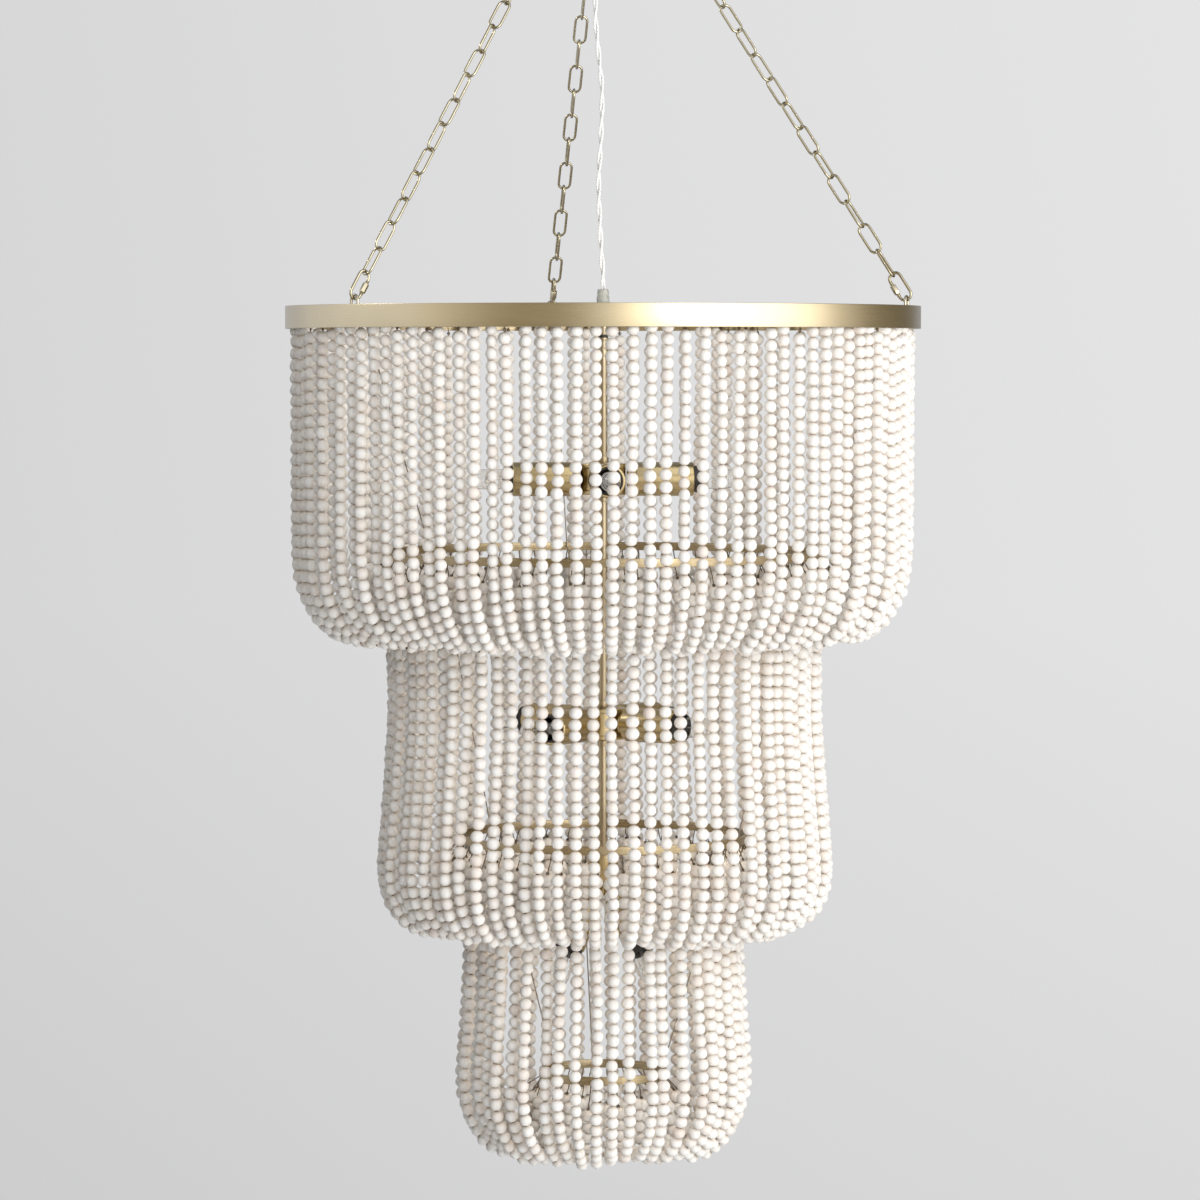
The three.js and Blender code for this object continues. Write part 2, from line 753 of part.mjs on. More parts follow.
// Power cord, from the strain relief up between the chains and into the canopy
function cordGeometry() {
  const entry = spot(cordHoleOffset, cordHoleAzimuth, 0);
  const rise = (z) => new THREE.Vector3(entry.x, entry.y, z);
  const points = [
    new THREE.Vector3(0, 0, reliefTop + gap),
    ...cordRun.map(([x, y, height]) => new THREE.Vector3(x, y, ringTop + height)),
    rise(-canopyDepth - cordStraight),
    rise(-canopyDepth - cordEntry),
    rise(-canopyDepth / 2),
  ];
  const path = new THREE.CatmullRomCurve3(points);
  const section = new THREE.Shape(Array.from({ length: cordSides }, (_, i) => {
    const turn = (2 * Math.PI * i) / cordSides;
    return new THREE.Vector2(cordRadius * Math.cos(turn), cordRadius * Math.sin(turn));
  }));
  const steps = Math.round(path.getLength() / (6 * cordRadius));
  return new THREE.ExtrudeGeometry(section, { steps, extrudePath: path, bevelEnabled: false });
}

addCeilingFittings();
chains.forEach((chain, i) => addChain(chain, seats[i]));
addRings();
addStem();
clusters.forEach(addCluster);
chains.forEach(({ name, azimuth }) => {
  add(`hanger_wire_${name}`, hangerWireGeometry(azimuth), darkWire);
});
addStrands();
add('power_cord', cordGeometry(), clearPlastic);

export default chandelier;
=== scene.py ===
"""Looks of a three-tier beaded chandelier: bead strands on brass rings, lamps, chains and flex.

Lengths in this script are millimetres and are turned into metres where a mesh is made.
Depths are measured down from the top ring's upper edge. An azimuth of 0 faces the camera
(-Y) and grows towards +X.
"""
import math

import bpy
import numpy as np
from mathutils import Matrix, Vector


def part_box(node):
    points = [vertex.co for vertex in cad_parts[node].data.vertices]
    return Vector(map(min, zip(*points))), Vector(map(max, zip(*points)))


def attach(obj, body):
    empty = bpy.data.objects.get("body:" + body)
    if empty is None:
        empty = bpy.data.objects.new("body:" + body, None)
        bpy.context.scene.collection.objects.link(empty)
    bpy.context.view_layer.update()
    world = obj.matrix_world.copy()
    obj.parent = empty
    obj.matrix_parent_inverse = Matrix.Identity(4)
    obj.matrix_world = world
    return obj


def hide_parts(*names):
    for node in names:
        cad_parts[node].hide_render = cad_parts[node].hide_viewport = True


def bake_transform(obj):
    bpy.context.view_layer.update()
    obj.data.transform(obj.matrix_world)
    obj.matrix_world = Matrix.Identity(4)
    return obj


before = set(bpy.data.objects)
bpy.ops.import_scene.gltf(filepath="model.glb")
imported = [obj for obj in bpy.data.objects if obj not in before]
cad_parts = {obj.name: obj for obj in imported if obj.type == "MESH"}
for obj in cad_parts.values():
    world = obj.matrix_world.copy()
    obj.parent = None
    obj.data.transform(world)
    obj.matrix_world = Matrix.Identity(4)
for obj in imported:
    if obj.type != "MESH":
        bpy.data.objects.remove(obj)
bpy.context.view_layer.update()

MM = 0.001
FIXTURE = "fixture"
ROOT = "canopy"
GATHER = "master_ring"

# Sizes shared with the solids
GAP = 0.3
TOP_RING_RADIUS = 316
TOP_RING_HEIGHT = 22.5
BAND_THICKNESS = 3
FLANGE_WIDTH = 14.5
FLANGE_DEPTH = 12
FLANGE_THICKNESS = 2.5
EYE_RADIUS = 310
EYE_WIRE = 1.5
EYE_HEIGHT = 8.5
EYE_WIDTH = 10
SPOKE_RADIUS = 3.5
SPOKE_DEPTH = 10.5
TOP_HUB_RADIUS = 15
TOP_HUB_HEIGHT = 11
SMALL_BAND_HEIGHT = 8.5
# name, outer radius, depth of the middle of the band
SMALL_RINGS = [("middle_ring", 222, 247), ("lower_ring", 145, 530), ("bottom_ring", 64, 767)]
STEM_RADIUS = 4.5
STEM_BORE = 3
# name, depth, azimuth of the first lamp, tilt below level, radii of hub, cup and neck
CLUSTERS = [
    ("upper", 172, 3.5, 0, 23.5, 17, 10),
    ("middle", 416, 55, 0, 23.5, 17, 10),
    ("bottom", 560, -42, 58, 15, 14, 5.5),
]
HUB_HEIGHT = 31
CONE_REACH = 20
FINIAL_RADIUS = 4
LEVEL_NECK = 6
TILTED_NECK = 20
SOCKET_REACH = 98
CUP_DEPTH = 28
COLLAR_RADIUS = 13.4
COLLAR_WALL = 1.6
COLLAR_PROUD = 7.5
BULB_REACH = 38
BULB_RADIUS = 10
# name, azimuth of the eye, degrees along the master ring where the chain hangs
CHAINS = [("left", -50, -16), ("right", 73, -2), ("back", 190, 19)]
LINK_LENGTH = 33.6
LINK_WIDTH = 14.5
LINK_WIRE = 1.3
LINK_COUNT = 19
QUICK_LENGTH = 33
QUICK_WIDTH = 15
QUICK_WIRE = 1.5
MASTER_RADIUS = 20
MASTER_WIRE = 2.5
LOOP_RADIUS = 13
LOOP_WIRE = 2.5
CANOPY_DEPTH = 24
CANOPY_RADIUS = 63.5
CORD_HOLE = (-22.553, 8.208)

RING_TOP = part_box("top_ring")[0].z / MM + TOP_RING_HEIGHT
MASTER_CENTRE = (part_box("master_ring")[0].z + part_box("master_ring")[1].z) / 2 / MM
LOOP_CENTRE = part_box("hanging_loop")[0].z / MM + LOOP_RADIUS + LOOP_WIRE
HUB_TOP = -(SPOKE_DEPTH - TOP_HUB_HEIGHT / 2)


def spot(radius, azimuth, z=0.0):
    turn = math.radians(azimuth)
    return np.array([radius * math.sin(turn), -radius * math.cos(turn), z])


def down(depth):
    return RING_TOP - depth


# Camera
def make_camera():
    data = bpy.data.cameras.new("camera")
    data.sensor_width = 36
    data.lens = 147.4
    camera = bpy.data.objects.new("camera", data)
    camera.location = (-0.003, -4.9, down(55.7) * MM)
    camera.rotation_euler = (math.radians(90 - 2.77), 0, 0)
    bpy.context.collection.objects.link(camera)
    bpy.context.scene.camera = camera


make_camera()


# Materials
class Nodes:
    """A node tree with short calls for the nodes that the finishes and the studio use."""

    def __init__(self, tree):
        self.tree = tree

    def link(self, out, into):
        self.tree.links.new(out, into)

    def node(self, kind, **values):
        """A new node, with its inputs and its settings given by name."""
        made = self.tree.nodes.new(kind)
        for name, value in values.items():
            label = name.replace("_", " ")
            if label in made.inputs:
                made.inputs[label].default_value = value
            else:
                setattr(made, name, value)
        return made

    def ramp(self, fac, stops, kind="LINEAR"):
        made = self.node("ShaderNodeValToRGB")
        made.color_ramp.interpolation = kind
        elements = made.color_ramp.elements
        while len(elements) < len(stops):
            elements.new(0.5)
        for element, (place, colour) in zip(elements, stops):
            element.position = place
            element.color = (*colour, 1)
        self.link(fac, made.inputs["Fac"])
        return made.outputs["Color"]

    def mix(self, fac, a, b, blend="MIX"):
        made = self.node("ShaderNodeMix", data_type="RGBA", blend_type=blend)
        for value, socket in ((fac, 0), (a, 6), (b, 7)):
            if hasattr(value, "links"):
                self.link(value, made.inputs[socket])
            elif socket == 0:
                made.inputs[socket].default_value = value
            else:
                made.inputs[socket].default_value = (*value, 1)
        return made.outputs[2]


class Finish(Nodes):
    """A material on the standard shader, made from noise in the object's own coordinates."""

    def __init__(self, name, **values):
        self.material = bpy.data.materials.new(name)
        self.material.use_nodes = True
        super().__init__(self.material.node_tree)
        self.shader = self.tree.nodes["Principled BSDF"]
        for label, value in values.items():
            self.shader.inputs[label.replace("_", " ")].default_value = value

    def noise(self, scale, stretch=(1, 1, 1), detail=3, w=None):
        mapping = self.node("ShaderNodeMapping", Scale=stretch)
        self.link(self.node("ShaderNodeTexCoord").outputs["Object"], mapping.inputs["Vector"])
        made = self.node("ShaderNodeTexNoise", noise_dimensions="4D" if w else "3D",
                         Scale=scale, Detail=detail)
        self.link(mapping.outputs["Vector"], made.inputs["Vector"])
        if w:
            self.link(w, made.inputs["W"])
        return made.outputs["Fac"]

    def span(self, fac, low, high):
        made = self.node("ShaderNodeMapRange", To_Min=low, To_Max=high)
        self.link(fac, made.inputs["Value"])
        return made.outputs["Result"]

    def bump(self, height, strength, distance):
        made = self.node("ShaderNodeBump", Strength=strength, Distance=distance)
        self.link(height, made.inputs["Height"])
        self.link(made.outputs["Normal"], self.shader.inputs["Normal"])
        return self.material

    def colour(self, socket):
        self.link(socket, self.shader.inputs["Base Color"])
        return self.material

    def roughness(self, socket):
        self.link(socket, self.shader.inputs["Roughness"])
        return self.material


def satin_brass(name, dark, light, rough, brushed=(1, 1, 1)):
    made = Finish(name, Metallic=1.0)
    cloud = made.noise(9, detail=2)
    grain = made.noise(900, brushed, detail=2)
    tarnish = made.ramp(cloud, [(0.3, dark), (0.7, light)])
    made.colour(made.mix(made.span(grain, 0, 0.35), tarnish, light))
    made.roughness(made.span(grain, rough - 0.04, rough + 0.06))
    return made.bump(grain, 0.12, 0.00005)


def bead_wood():
    made = Finish("whitewashed_wood", Specular_IOR_Level=0.3)
    tint = made.node("ShaderNodeAttribute", attribute_name="tint").outputs["Fac"]
    crease_shade_and_wear = made.node("ShaderNodeAttribute", attribute_name="crease_shade_and_wear").outputs["Fac"]
    offset = made.span(tint, 0, 40)
    wash = made.ramp(tint, [
        (0.0, (0.72, 0.645, 0.59)),
        (0.1, (0.765, 0.715, 0.665)),
        (0.5, (0.79, 0.77, 0.735)),
        (1.0, (0.82, 0.81, 0.785)),
    ])
    grain = made.noise(1, (420, 420, 70), detail=4, w=offset)
    pores = made.noise(1, (900, 900, 420), detail=2, w=offset)
    streak = made.ramp(grain, [(0.34, (0.86, 0.80, 0.73)), (0.50, (1, 1, 1))])
    body = made.mix(0.4, wash, streak, "MULTIPLY")
    speck = made.ramp(pores, [(0.25, (0.74, 0.66, 0.58)), (0.33, (1, 1, 1))])
    body = made.mix(0.3, body, speck, "MULTIPLY")
    # Darker towards each bead's holes: partly worn whitewash, partly painted shade in the creases where the
    # beads meet
    made.colour(made.mix(crease_shade_and_wear, body, (0.78, 0.71, 0.64), "MULTIPLY"))
    made.roughness(made.span(grain, 0.62, 0.86))
    return made.bump(grain, 0.15, 0.0002)


# A near-black flat cap: painted shade standing for the inside of a drilled hole
def painted_hole_shade():
    made = Finish("drill_hole", Roughness=0.95, Specular_IOR_Level=0.1)
    hole_shade_mottle = made.noise(1500, detail=2)
    return made.colour(made.ramp(hole_shade_mottle, [(0.3, (0.035, 0.022, 0.014)), (0.7, (0.10, 0.065, 0.04))]))


def plain_metal(name, low, high, rough):
    made = Finish(name, Metallic=1.0)
    mottle = made.noise(700)
    made.colour(made.ramp(mottle, [(0.3, low), (0.7, high)]))
    return made.roughness(made.span(mottle, rough - 0.06, rough + 0.08))


def clear_glass(name, colour, rough):
    made = Finish(name, Transmission_Weight=1.0, IOR=1.45, Roughness=rough)
    ripple = made.noise(260, detail=2)
    made.colour(made.ramp(ripple, [(0.3, colour), (0.7, tuple(min(1, c * 1.03) for c in colour))]))
    return made.bump(ripple, 0.04, 0.00004)


def moulded(name, low, high, rough, scale=1200, transmission=0.0, alpha=1.0):
    made = Finish(name, Transmission_Weight=transmission, IOR=1.46, Alpha=alpha)
    fine = made.noise(scale)
    made.colour(made.ramp(fine, [(0.3, low), (0.7, high)]))
    made.roughness(made.span(fine, rough - 0.05, rough + 0.08))
    return made.bump(fine, 0.1, 0.00005)


# Stretch of the brushing: long strokes around the bands, or up and down the pipes
AROUND = (0.02, 0.02, 1)
UPRIGHT = (1, 1, 0.08)
BRASS = satin_brass("satin_brass", (0.40, 0.355, 0.275), (0.53, 0.485, 0.395), 0.20)
CHAIN_BRASS = satin_brass("chain_brass", (0.35, 0.305, 0.20), (0.53, 0.48, 0.35), 0.14)
# Darker brass for the small rings: painted shade, as they hang inside the bead strands
SHADED_RING_BRASS = satin_brass("small_ring_brass_painted_shade", (0.38, 0.305, 0.18), (0.47, 0.385, 0.245), 0.26, AROUND)
BAND_BRASS = satin_brass("brushed_band_brass", (0.53, 0.435, 0.27), (0.61, 0.51, 0.335), 0.27, AROUND)
# Darker brass for the stem pipes and coupling: painted shade, as they stand inside the bead strands
SHADED_STEM_BRASS = satin_brass("stem_brass_painted_shade", (0.36, 0.295, 0.19), (0.46, 0.385, 0.26), 0.28, UPRIGHT)
# Brighter, more golden brass for the lamp cups and hubs: painted light standing for the highlights on them
LAMP_BRASS_PAINTED_LIGHT = satin_brass("lamp_brass_painted_light", (0.44, 0.345, 0.175), (0.60, 0.49, 0.285), 0.23, UPRIGHT)
BEAD = bead_wood()
HOLE = painted_hole_shade()
WIRE = plain_metal("bronze_wire", (0.085, 0.062, 0.04), (0.20, 0.155, 0.10), 0.40)
STEEL = plain_metal("zinc_plate", (0.50, 0.51, 0.52), (0.66, 0.67, 0.68), 0.38)
THIN_WIRE = plain_metal("hanger_wire", (0.24, 0.20, 0.15), (0.38, 0.33, 0.26), 0.40)
GLASS = clear_glass("bulb_glass", (0.97, 0.975, 0.97), 0.02)
JACKET = moulded("clear_flex_jacket", (0.86, 0.865, 0.86), (0.93, 0.935, 0.93), 0.14, alpha=0.36)
RELIEF = moulded("relief_plastic", (0.46, 0.475, 0.43), (0.56, 0.575, 0.53), 0.35, transmission=0.4)
CORE = moulded("silvery_core", (0.84, 0.84, 0.83), (0.95, 0.95, 0.945), 0.4, 2500)
LINER = moulded("black_socket_liner", (0.012, 0.011, 0.011), (0.022, 0.02, 0.02), 0.42)
RUBBER = moulded("black_grommet", (0.02, 0.02, 0.02), (0.045, 0.043, 0.042), 0.7)


# Mesh helpers
SHARP_ANGLE = 38
NEAR_AXIS = 1e-6


def new_object(name, vertices, faces, materials, indices=None, smooth=True):
    mesh = bpy.data.meshes.new(name)
    mesh.from_pydata((np.asarray(vertices, float) * MM).tolist(), [], faces)
    for material in materials:
        mesh.materials.append(material)
    if indices is not None:
        mesh.polygons.foreach_set("material_index", np.asarray(indices, np.int32))
    mesh.validate()
    if smooth:
        mesh.polygons.foreach_set("use_smooth", np.ones(len(mesh.polygons), bool))
        mesh.set_sharp_from_angle(angle=math.radians(SHARP_ANGLE))
    mesh.update()
    made = bpy.data.objects.new(name, mesh)
    bpy.context.collection.objects.link(made)
    return made


class Build:
    """Collects vertices and faces of several closed forms into one object."""

    def __init__(self):
        self.vertices = []
        self.faces = []
        self.indices = []
        self.count = 0

    def add(self, vertices, faces, slot=0):
        vertices = np.asarray(vertices, float).reshape(-1, 3)
        self.vertices.append(vertices)
        self.faces.extend([tuple(i + self.count for i in face) for face in faces])
        self.indices.extend([slot] * len(faces))
        self.count += len(vertices)
        return self

    def make(self, name, materials, body, slot, replaced=()):
        made = new_object(name, np.concatenate(self.vertices), self.faces, materials, self.indices)
        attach(made, body)
        if replaced:
            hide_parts(*replaced)
        return made


def frame_of(direction):
    """Two unit vectors square to a direction and to each other."""
    w = np.asarray(direction, float)
    w = w / np.linalg.norm(w)
    helper = np.array([0.0, 0.0, 1.0]) if abs(w[2]) < 0.9 else np.array([1.0, 0.0, 0.0])
    u = np.cross(helper, w)
    u /= np.linalg.norm(u)
    return u, np.cross(w, u), w


def units(rows):
    return rows / np.linalg.norm(rows, axis=1, keepdims=True)


def circle(centre, radius, normal, steps):
    u, v, _ = frame_of(normal)
    turns = np.linspace(0, 2 * math.pi, steps, endpoint=False)
    return np.asarray(centre) + radius * (np.cos(turns)[:, None] * u + np.sin(turns)[:, None] * v)


def hoop(outer, inner, low, high):
    return [(outer, high), (outer, low), (inner, low), (inner, high)]


def lathe(profile, sides, centre=(0, 0, 0), axis=(0, 0, 1)):
    """A closed body from [radius, height] points. Ends off the axis join into a ring."""
    w = frame_of(axis)[2]
    vertices, rings = [], []
    for radius, height in profile:
        if radius < NEAR_AXIS:
            rings.append([len(vertices)] * sides)
            vertices.append(centre + w * height)
        else:
            start = len(vertices)
            rings.append(list(range(start, start + sides)))
            vertices.extend(circle(centre, radius, axis, sides) + w * height)
    looped = profile[0][0] > NEAR_AXIS and profile[-1][0] > NEAR_AXIS
    faces = []
    last = len(rings) if looped else len(rings) - 1
    for i in range(last):
        a, b = rings[i], rings[(i + 1) % len(rings)]
        for j in range(sides):
            k = (j + 1) % sides
            face = list(dict.fromkeys([a[j], a[k], b[k], b[j]]))
            if len(face) > 2:
                faces.append(face)
    area = sum(p[0] * q[1] - q[0] * p[1] for p, q in zip(profile, [*profile[1:], profile[0]]))
    if area > 0:
        faces = [face[::-1] for face in faces]
    return np.array(vertices), [tuple(face[::-1]) for face in faces]


def rounded(profile, radius, steps=3):
    """A profile with its corners off the axis rounded."""
    points = [np.array(p, float) for p in profile]
    looped = profile[0][0] > NEAR_AXIS and profile[-1][0] > NEAR_AXIS
    out = []
    for i, here in enumerate(points):
        if not looped and i in (0, len(points) - 1):
            out.append(tuple(here))
            continue
        before, after = points[i - 1], points[(i + 1) % len(points)]
        a, b = before - here, after - here
        size = min(radius, 0.45 * np.linalg.norm(a), 0.45 * np.linalg.norm(b))
        start, end = here + a / np.linalg.norm(a) * size, here + b / np.linalg.norm(b) * size
        for t in np.linspace(0, 1, steps + 1):
            out.append(tuple((1 - t) ** 2 * start + 2 * t * (1 - t) * here + t * t * end))
    return out


def sweep(path, radius, sides, looped=False):
    """A round tube along points, with its own turning kept as small as it can be."""
    points = np.asarray(path, float)
    count = len(points)
    ahead = np.roll(points, -1, 0) - points if looped else np.gradient(points, axis=0)
    if looped:
        ahead = ahead + (points - np.roll(points, 1, 0))
    tangents = units(ahead)
    normal = frame_of(tangents[0])[0]
    normals = [normal]
    for i in range(1, count):
        normal = normal - tangents[i] * normal.dot(tangents[i])
        normal /= np.linalg.norm(normal)
        normals.append(normal)
    normals = np.array(normals)
    if looped:
        end = normals[-1] - tangents[0] * normals[-1].dot(tangents[0])
        side = np.cross(tangents[0], normals[0])
        twist = math.atan2(end.dot(side), end.dot(normals[0]))
        share = -twist * np.arange(count) / count
        others = np.cross(tangents, normals)
        normals = np.cos(share)[:, None] * normals + np.sin(share)[:, None] * others
    others = np.cross(tangents, normals)
    turns = np.linspace(0, 2 * math.pi, sides, endpoint=False)
    rings = points[:, None] + radius * (
        np.cos(turns)[None, :, None] * normals[:, None]
        + np.sin(turns)[None, :, None] * others[:, None]
    )
    faces = []
    for i in range(count if looped else count - 1):
        here, after = i * sides, (i + 1) % count * sides
        for j in range(sides):
            k = (j + 1) % sides
            faces.append((here + j, here + k, after + k, after + j))
    if not looped:
        faces.append(tuple(range(sides))[::-1])
        faces.append(tuple((count - 1) * sides + j for j in range(sides)))
    return rings.reshape(-1, 3), faces


def through(points, step):
    """Points every step along the centripetal curve through the given points."""
    p = np.asarray(points, float)
    p = np.vstack([2 * p[0] - p[1], p, 2 * p[-1] - p[-2]])
    out = []
    for i in range(1, len(p) - 2):
        p0, p1, p2, p3 = p[i - 1:i + 3]
        t0 = 0.0
        t1 = t0 + math.sqrt(np.linalg.norm(p1 - p0))
        t2 = t1 + math.sqrt(np.linalg.norm(p2 - p1))
        t3 = t2 + math.sqrt(np.linalg.norm(p3 - p2))
        t = np.linspace(t1, t2, 24, endpoint=False)[:, None]
        a1 = (t1 - t) / (t1 - t0) * p0 + (t - t0) / (t1 - t0) * p1
        a2 = (t2 - t) / (t2 - t1) * p1 + (t - t1) / (t2 - t1) * p2
        a3 = (t3 - t) / (t3 - t2) * p2 + (t - t2) / (t3 - t2) * p3
        b1 = (t2 - t) / (t2 - t0) * a1 + (t - t0) / (t2 - t0) * a2
        b2 = (t3 - t) / (t3 - t1) * a2 + (t - t1) / (t3 - t1) * a3
        out.append((t2 - t) / (t2 - t1) * b1 + (t - t1) / (t2 - t1) * b2)
    curve = np.vstack([*out, p[-2:-1]])
    return respaced(curve, step)


def respaced(curve, step):
    """Points along a curve at even distances of about one step."""
    along = np.concatenate([[0], np.cumsum(np.linalg.norm(np.diff(curve, axis=0), axis=1))])
    count = max(2, round(along[-1] / step) + 1)
    places = np.linspace(0, along[-1], count)
    return np.column_stack([np.interp(places, along, curve[:, k]) for k in range(curve.shape[1])])


# Power cord: the solids' route, as sideways (x), forward (y) and height above the top ring
TWIST_PITCH = 52
WIRE_OFFSET = 1.42
JACKET_RADIUS = 1.4
CORE_RADIUS = 0.95
CORD_STEP = 1.6
# Height of the strain relief above its foot; the flex starts just above it
RELIEF_HEIGHT = 21.5
CORD_RUN = [
    (0, 0, 30),
    (-1.6, 0.5, 54.8),
    (-3.4, 1, 89.3),
    (-4.3, 1.5, 123.6),
    (-2, 1, 169.5),
    (-1.1, 1, 215.5),
    (-4.3, 2, 249.9),
    (-7.3, 3, 284.3),
    (-7.6, 4, 320),
    (-8.6, 4.5, 360),
    (-11, 5.2, 400),
    (-15, 6.2, 440),
]


def make_cord():
    foot = HUB_TOP + GAP
    head = foot + RELIEF_HEIGHT
    points = [(0, 0, RING_TOP + head + GAP)]
    points += [(x, y, RING_TOP + height) for x, y, height in CORD_RUN]
    points += [(*CORD_HOLE, z) for z in (-CANOPY_DEPTH - 34, -CANOPY_DEPTH - 14, -CANOPY_DEPTH / 2)]
    line = through(points, CORD_STEP)
    step = np.linalg.norm(np.diff(line, axis=0), axis=1).mean()
    twist = 2 * math.pi * step * np.arange(len(line)) / TWIST_PITCH
    tangents = units(np.gradient(line, axis=0))
    side = units(np.cross(tangents, (0, 1, 0)))
    ahead = np.cross(tangents, side)
    cord = Build()
    for phase in (0, math.pi):
        offset = np.cos(twist + phase)[:, None] * side + np.sin(twist + phase)[:, None] * ahead
        cord.add(*sweep(line + WIRE_OFFSET * offset, JACKET_RADIUS, 9), slot=0)
        cord.add(*sweep(line + WIRE_OFFSET * offset, CORE_RADIUS, 7), slot=1)
    made = new_object("flex", np.concatenate(cord.vertices), cord.faces, [JACKET, CORE], cord.indices)
    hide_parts("power_cord")
    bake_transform(made)
    relief = Build().add(*lathe(rounded([
        (0, foot), (8.5, foot), (8.5, HUB_TOP + 3.2), (7.4, HUB_TOP + 4.2),
        (6.9, HUB_TOP + 9), (6.3, HUB_TOP + 9.4), (6.3, HUB_TOP + 11.2), (6.5, HUB_TOP + 11.6),
        (6.1, HUB_TOP + 15), (5.7, HUB_TOP + 15.4), (5.7, HUB_TOP + 17), (5.8, HUB_TOP + 17.4),
        (5.4, head), (0, head),
    ], 0.5), 40, (0, 0, RING_TOP)))
    boot = relief.make("strain_relief_boot", [RELIEF], FIXTURE, "relief_plastic", ["strain_relief"])


make_cord()


# Studio: a pale surround that camera rays see, one that metal mirrors and one that lights the beads
STUDIO_PEAK = 3.2
FLOOR_RADIUS = 2
FLOOR_SIDES = 64
FLOOR_LEVEL = -2.5


def make_world():
    world = bpy.data.worlds.new("studio")
    bpy.context.scene.world = world
    world.use_nodes = True
    world.node_tree.nodes.clear()
    sky = Nodes(world.node_tree)

    def math_node(operation, a, b):
        made = sky.node("ShaderNodeMath", operation=operation)
        for socket, value in zip(made.inputs, (a, b)):
            if hasattr(value, "links"):
                sky.link(value, socket)
            else:
                socket.default_value = value
        return made.outputs[0]

    split = sky.node("ShaderNodeSeparateXYZ")
    sky.link(sky.node("ShaderNodeTexCoord").outputs["Generated"], split.inputs[0])
    x, y, z = split.outputs
    # Azimuth as seen from the object: 0 towards the camera, a quarter turn towards +X
    azimuth = math_node("ARCTAN2", x, math_node("MULTIPLY", y, -1))
    around = math_node("ADD", math_node("DIVIDE", azimuth, 2 * math.pi), 0.5)
    level = 1 / STUDIO_PEAK

    def tone(degrees, value, tint=(1, 1, 1)):
        return (degrees + 180) / 360, tuple(value * level * c for c in tint)

    def surround(stops, heights):
        sides = sky.ramp(around, [tone(*stop) for stop in stops], "EASE")
        lift = sky.ramp(math_node("ADD", math_node("MULTIPLY", z, 0.5), 0.5), [
            ((height + 1) / 2, (value, value, value)) for height, value in heights])
        return sky.mix(1, sides, lift, "MULTIPLY")

    beige = (1.0, 0.95, 0.86)
    cream = (1, 0.95, 0.9)
    cool = (0.95, 1, 1.12)
    warm = (1.12, 1, 0.74)
    # What metal and glass mirror
    mirrored = surround([
        (-180, 0.56, cool), (-152, 0.60, cool), (-126, 0.84, cool), (-105, 1.02, cool), (-80, 1.12, cool),
        (-62, 1.0), (-48, 0.64, beige), (-30, 0.36, warm), (-14, 0.36, warm), (1, 0.85), (14, 2.3),
        (26, STUDIO_PEAK), (58, STUDIO_PEAK), (80, 2.0), (95, 0.72, beige), (114, 0.24, warm),
        (140, 0.17, warm), (160, 0.45, cool), (179, 0.6, cool),
    ], [(-1, 0.40), (-0.4, 0.62), (-0.08, 1.04), (0.16, 1.02), (0.5, 0.66), (1, 0.52)])
    # What lights matt surfaces: a wide window at the front right, and dark at the left
    shining = surround([
        (-180, 0.72), (-150, 0.62), (-125, 0.28), (-100, 0.14, cream), (-70, 0.05, cream),
        (-45, 0.03, beige), (-24, 0.08, beige), (-9, 0.42), (4, 2.1), (20, 2.35), (52, 1.4),
        (76, 0.92), (98, 0.36, beige), (125, 0.34, cream), (150, 0.62), (179, 0.72),
    ], [(-1, 1.35), (-0.4, 1.32), (0.05, 1.1), (0.5, 0.94), (1, 0.7)])
    rays = sky.node("ShaderNodeLightPath").outputs
    lights = sky.node("ShaderNodeBackground", Strength=STUDIO_PEAK)
    sky.link(sky.mix(rays["Is Diffuse Ray"], mirrored, shining), lights.inputs["Color"])

    # The backdrop that camera rays see, with painted light and shade: lighter towards +X, darker towards
    # the bottom
    wall = sky.ramp(math_node("ADD", math_node("MULTIPLY", x, 4.0), 0.5), [
        (0.0, (0.680, 0.680, 0.686)),
        (0.5, (0.737, 0.737, 0.742)),
        (1.0, (0.779, 0.779, 0.783)),
    ])
    fall = sky.ramp(math_node("ADD", math_node("MULTIPLY", z, 4.0), 0.7), [
        (0.0, (0.89, 0.89, 0.89)),
        (0.5, (0.985, 0.985, 0.985)),
        (1.0, (1.0, 1.0, 1.0)),
    ])
    seen = sky.node("ShaderNodeBackground", Strength=1)
    sky.link(sky.mix(1, wall, fall, "MULTIPLY"), seen.inputs["Color"])
    direct = math_node("MAXIMUM", rays["Is Camera Ray"], rays["Is Transmission Ray"])
    either = sky.node("ShaderNodeMixShader")
    for out, into in zip((direct, lights.outputs[0], seen.outputs[0]), either.inputs):
        sky.link(out, into)
    sky.link(either.outputs[0], sky.node("ShaderNodeOutputWorld").inputs["Surface"])


def make_light(name, kind, place, watts, colour):
    data = bpy.data.lights.new(name, kind)
    data.energy = watts
    data.color = colour
    made = bpy.data.objects.new(name, data)
    made.location = place
    bpy.context.collection.objects.link(made)
    return made


def area_light(name, place, target, size, watts, colour):
    made = make_light(name, "AREA", place, watts, colour)
    made.data.size = size
    aim = np.array(target) - np.array(place)
    pitch = math.acos(-aim[2] / np.linalg.norm(aim))
    made.rotation_euler = (pitch, 0, math.atan2(aim[1], aim[0]) - math.pi / 2)


def inner_glow(name, depth, radius, watts):
    """The warm light that beads and brass throw about inside a tier."""
    made = make_light(name, "POINT", spot(radius, 25, down(depth)) * MM, watts, (1.0, 0.87, 0.74))
    made.data.shadow_soft_size = 0.045
    made.visible_camera = False
    made.visible_glossy = False
    made.visible_transmission = False


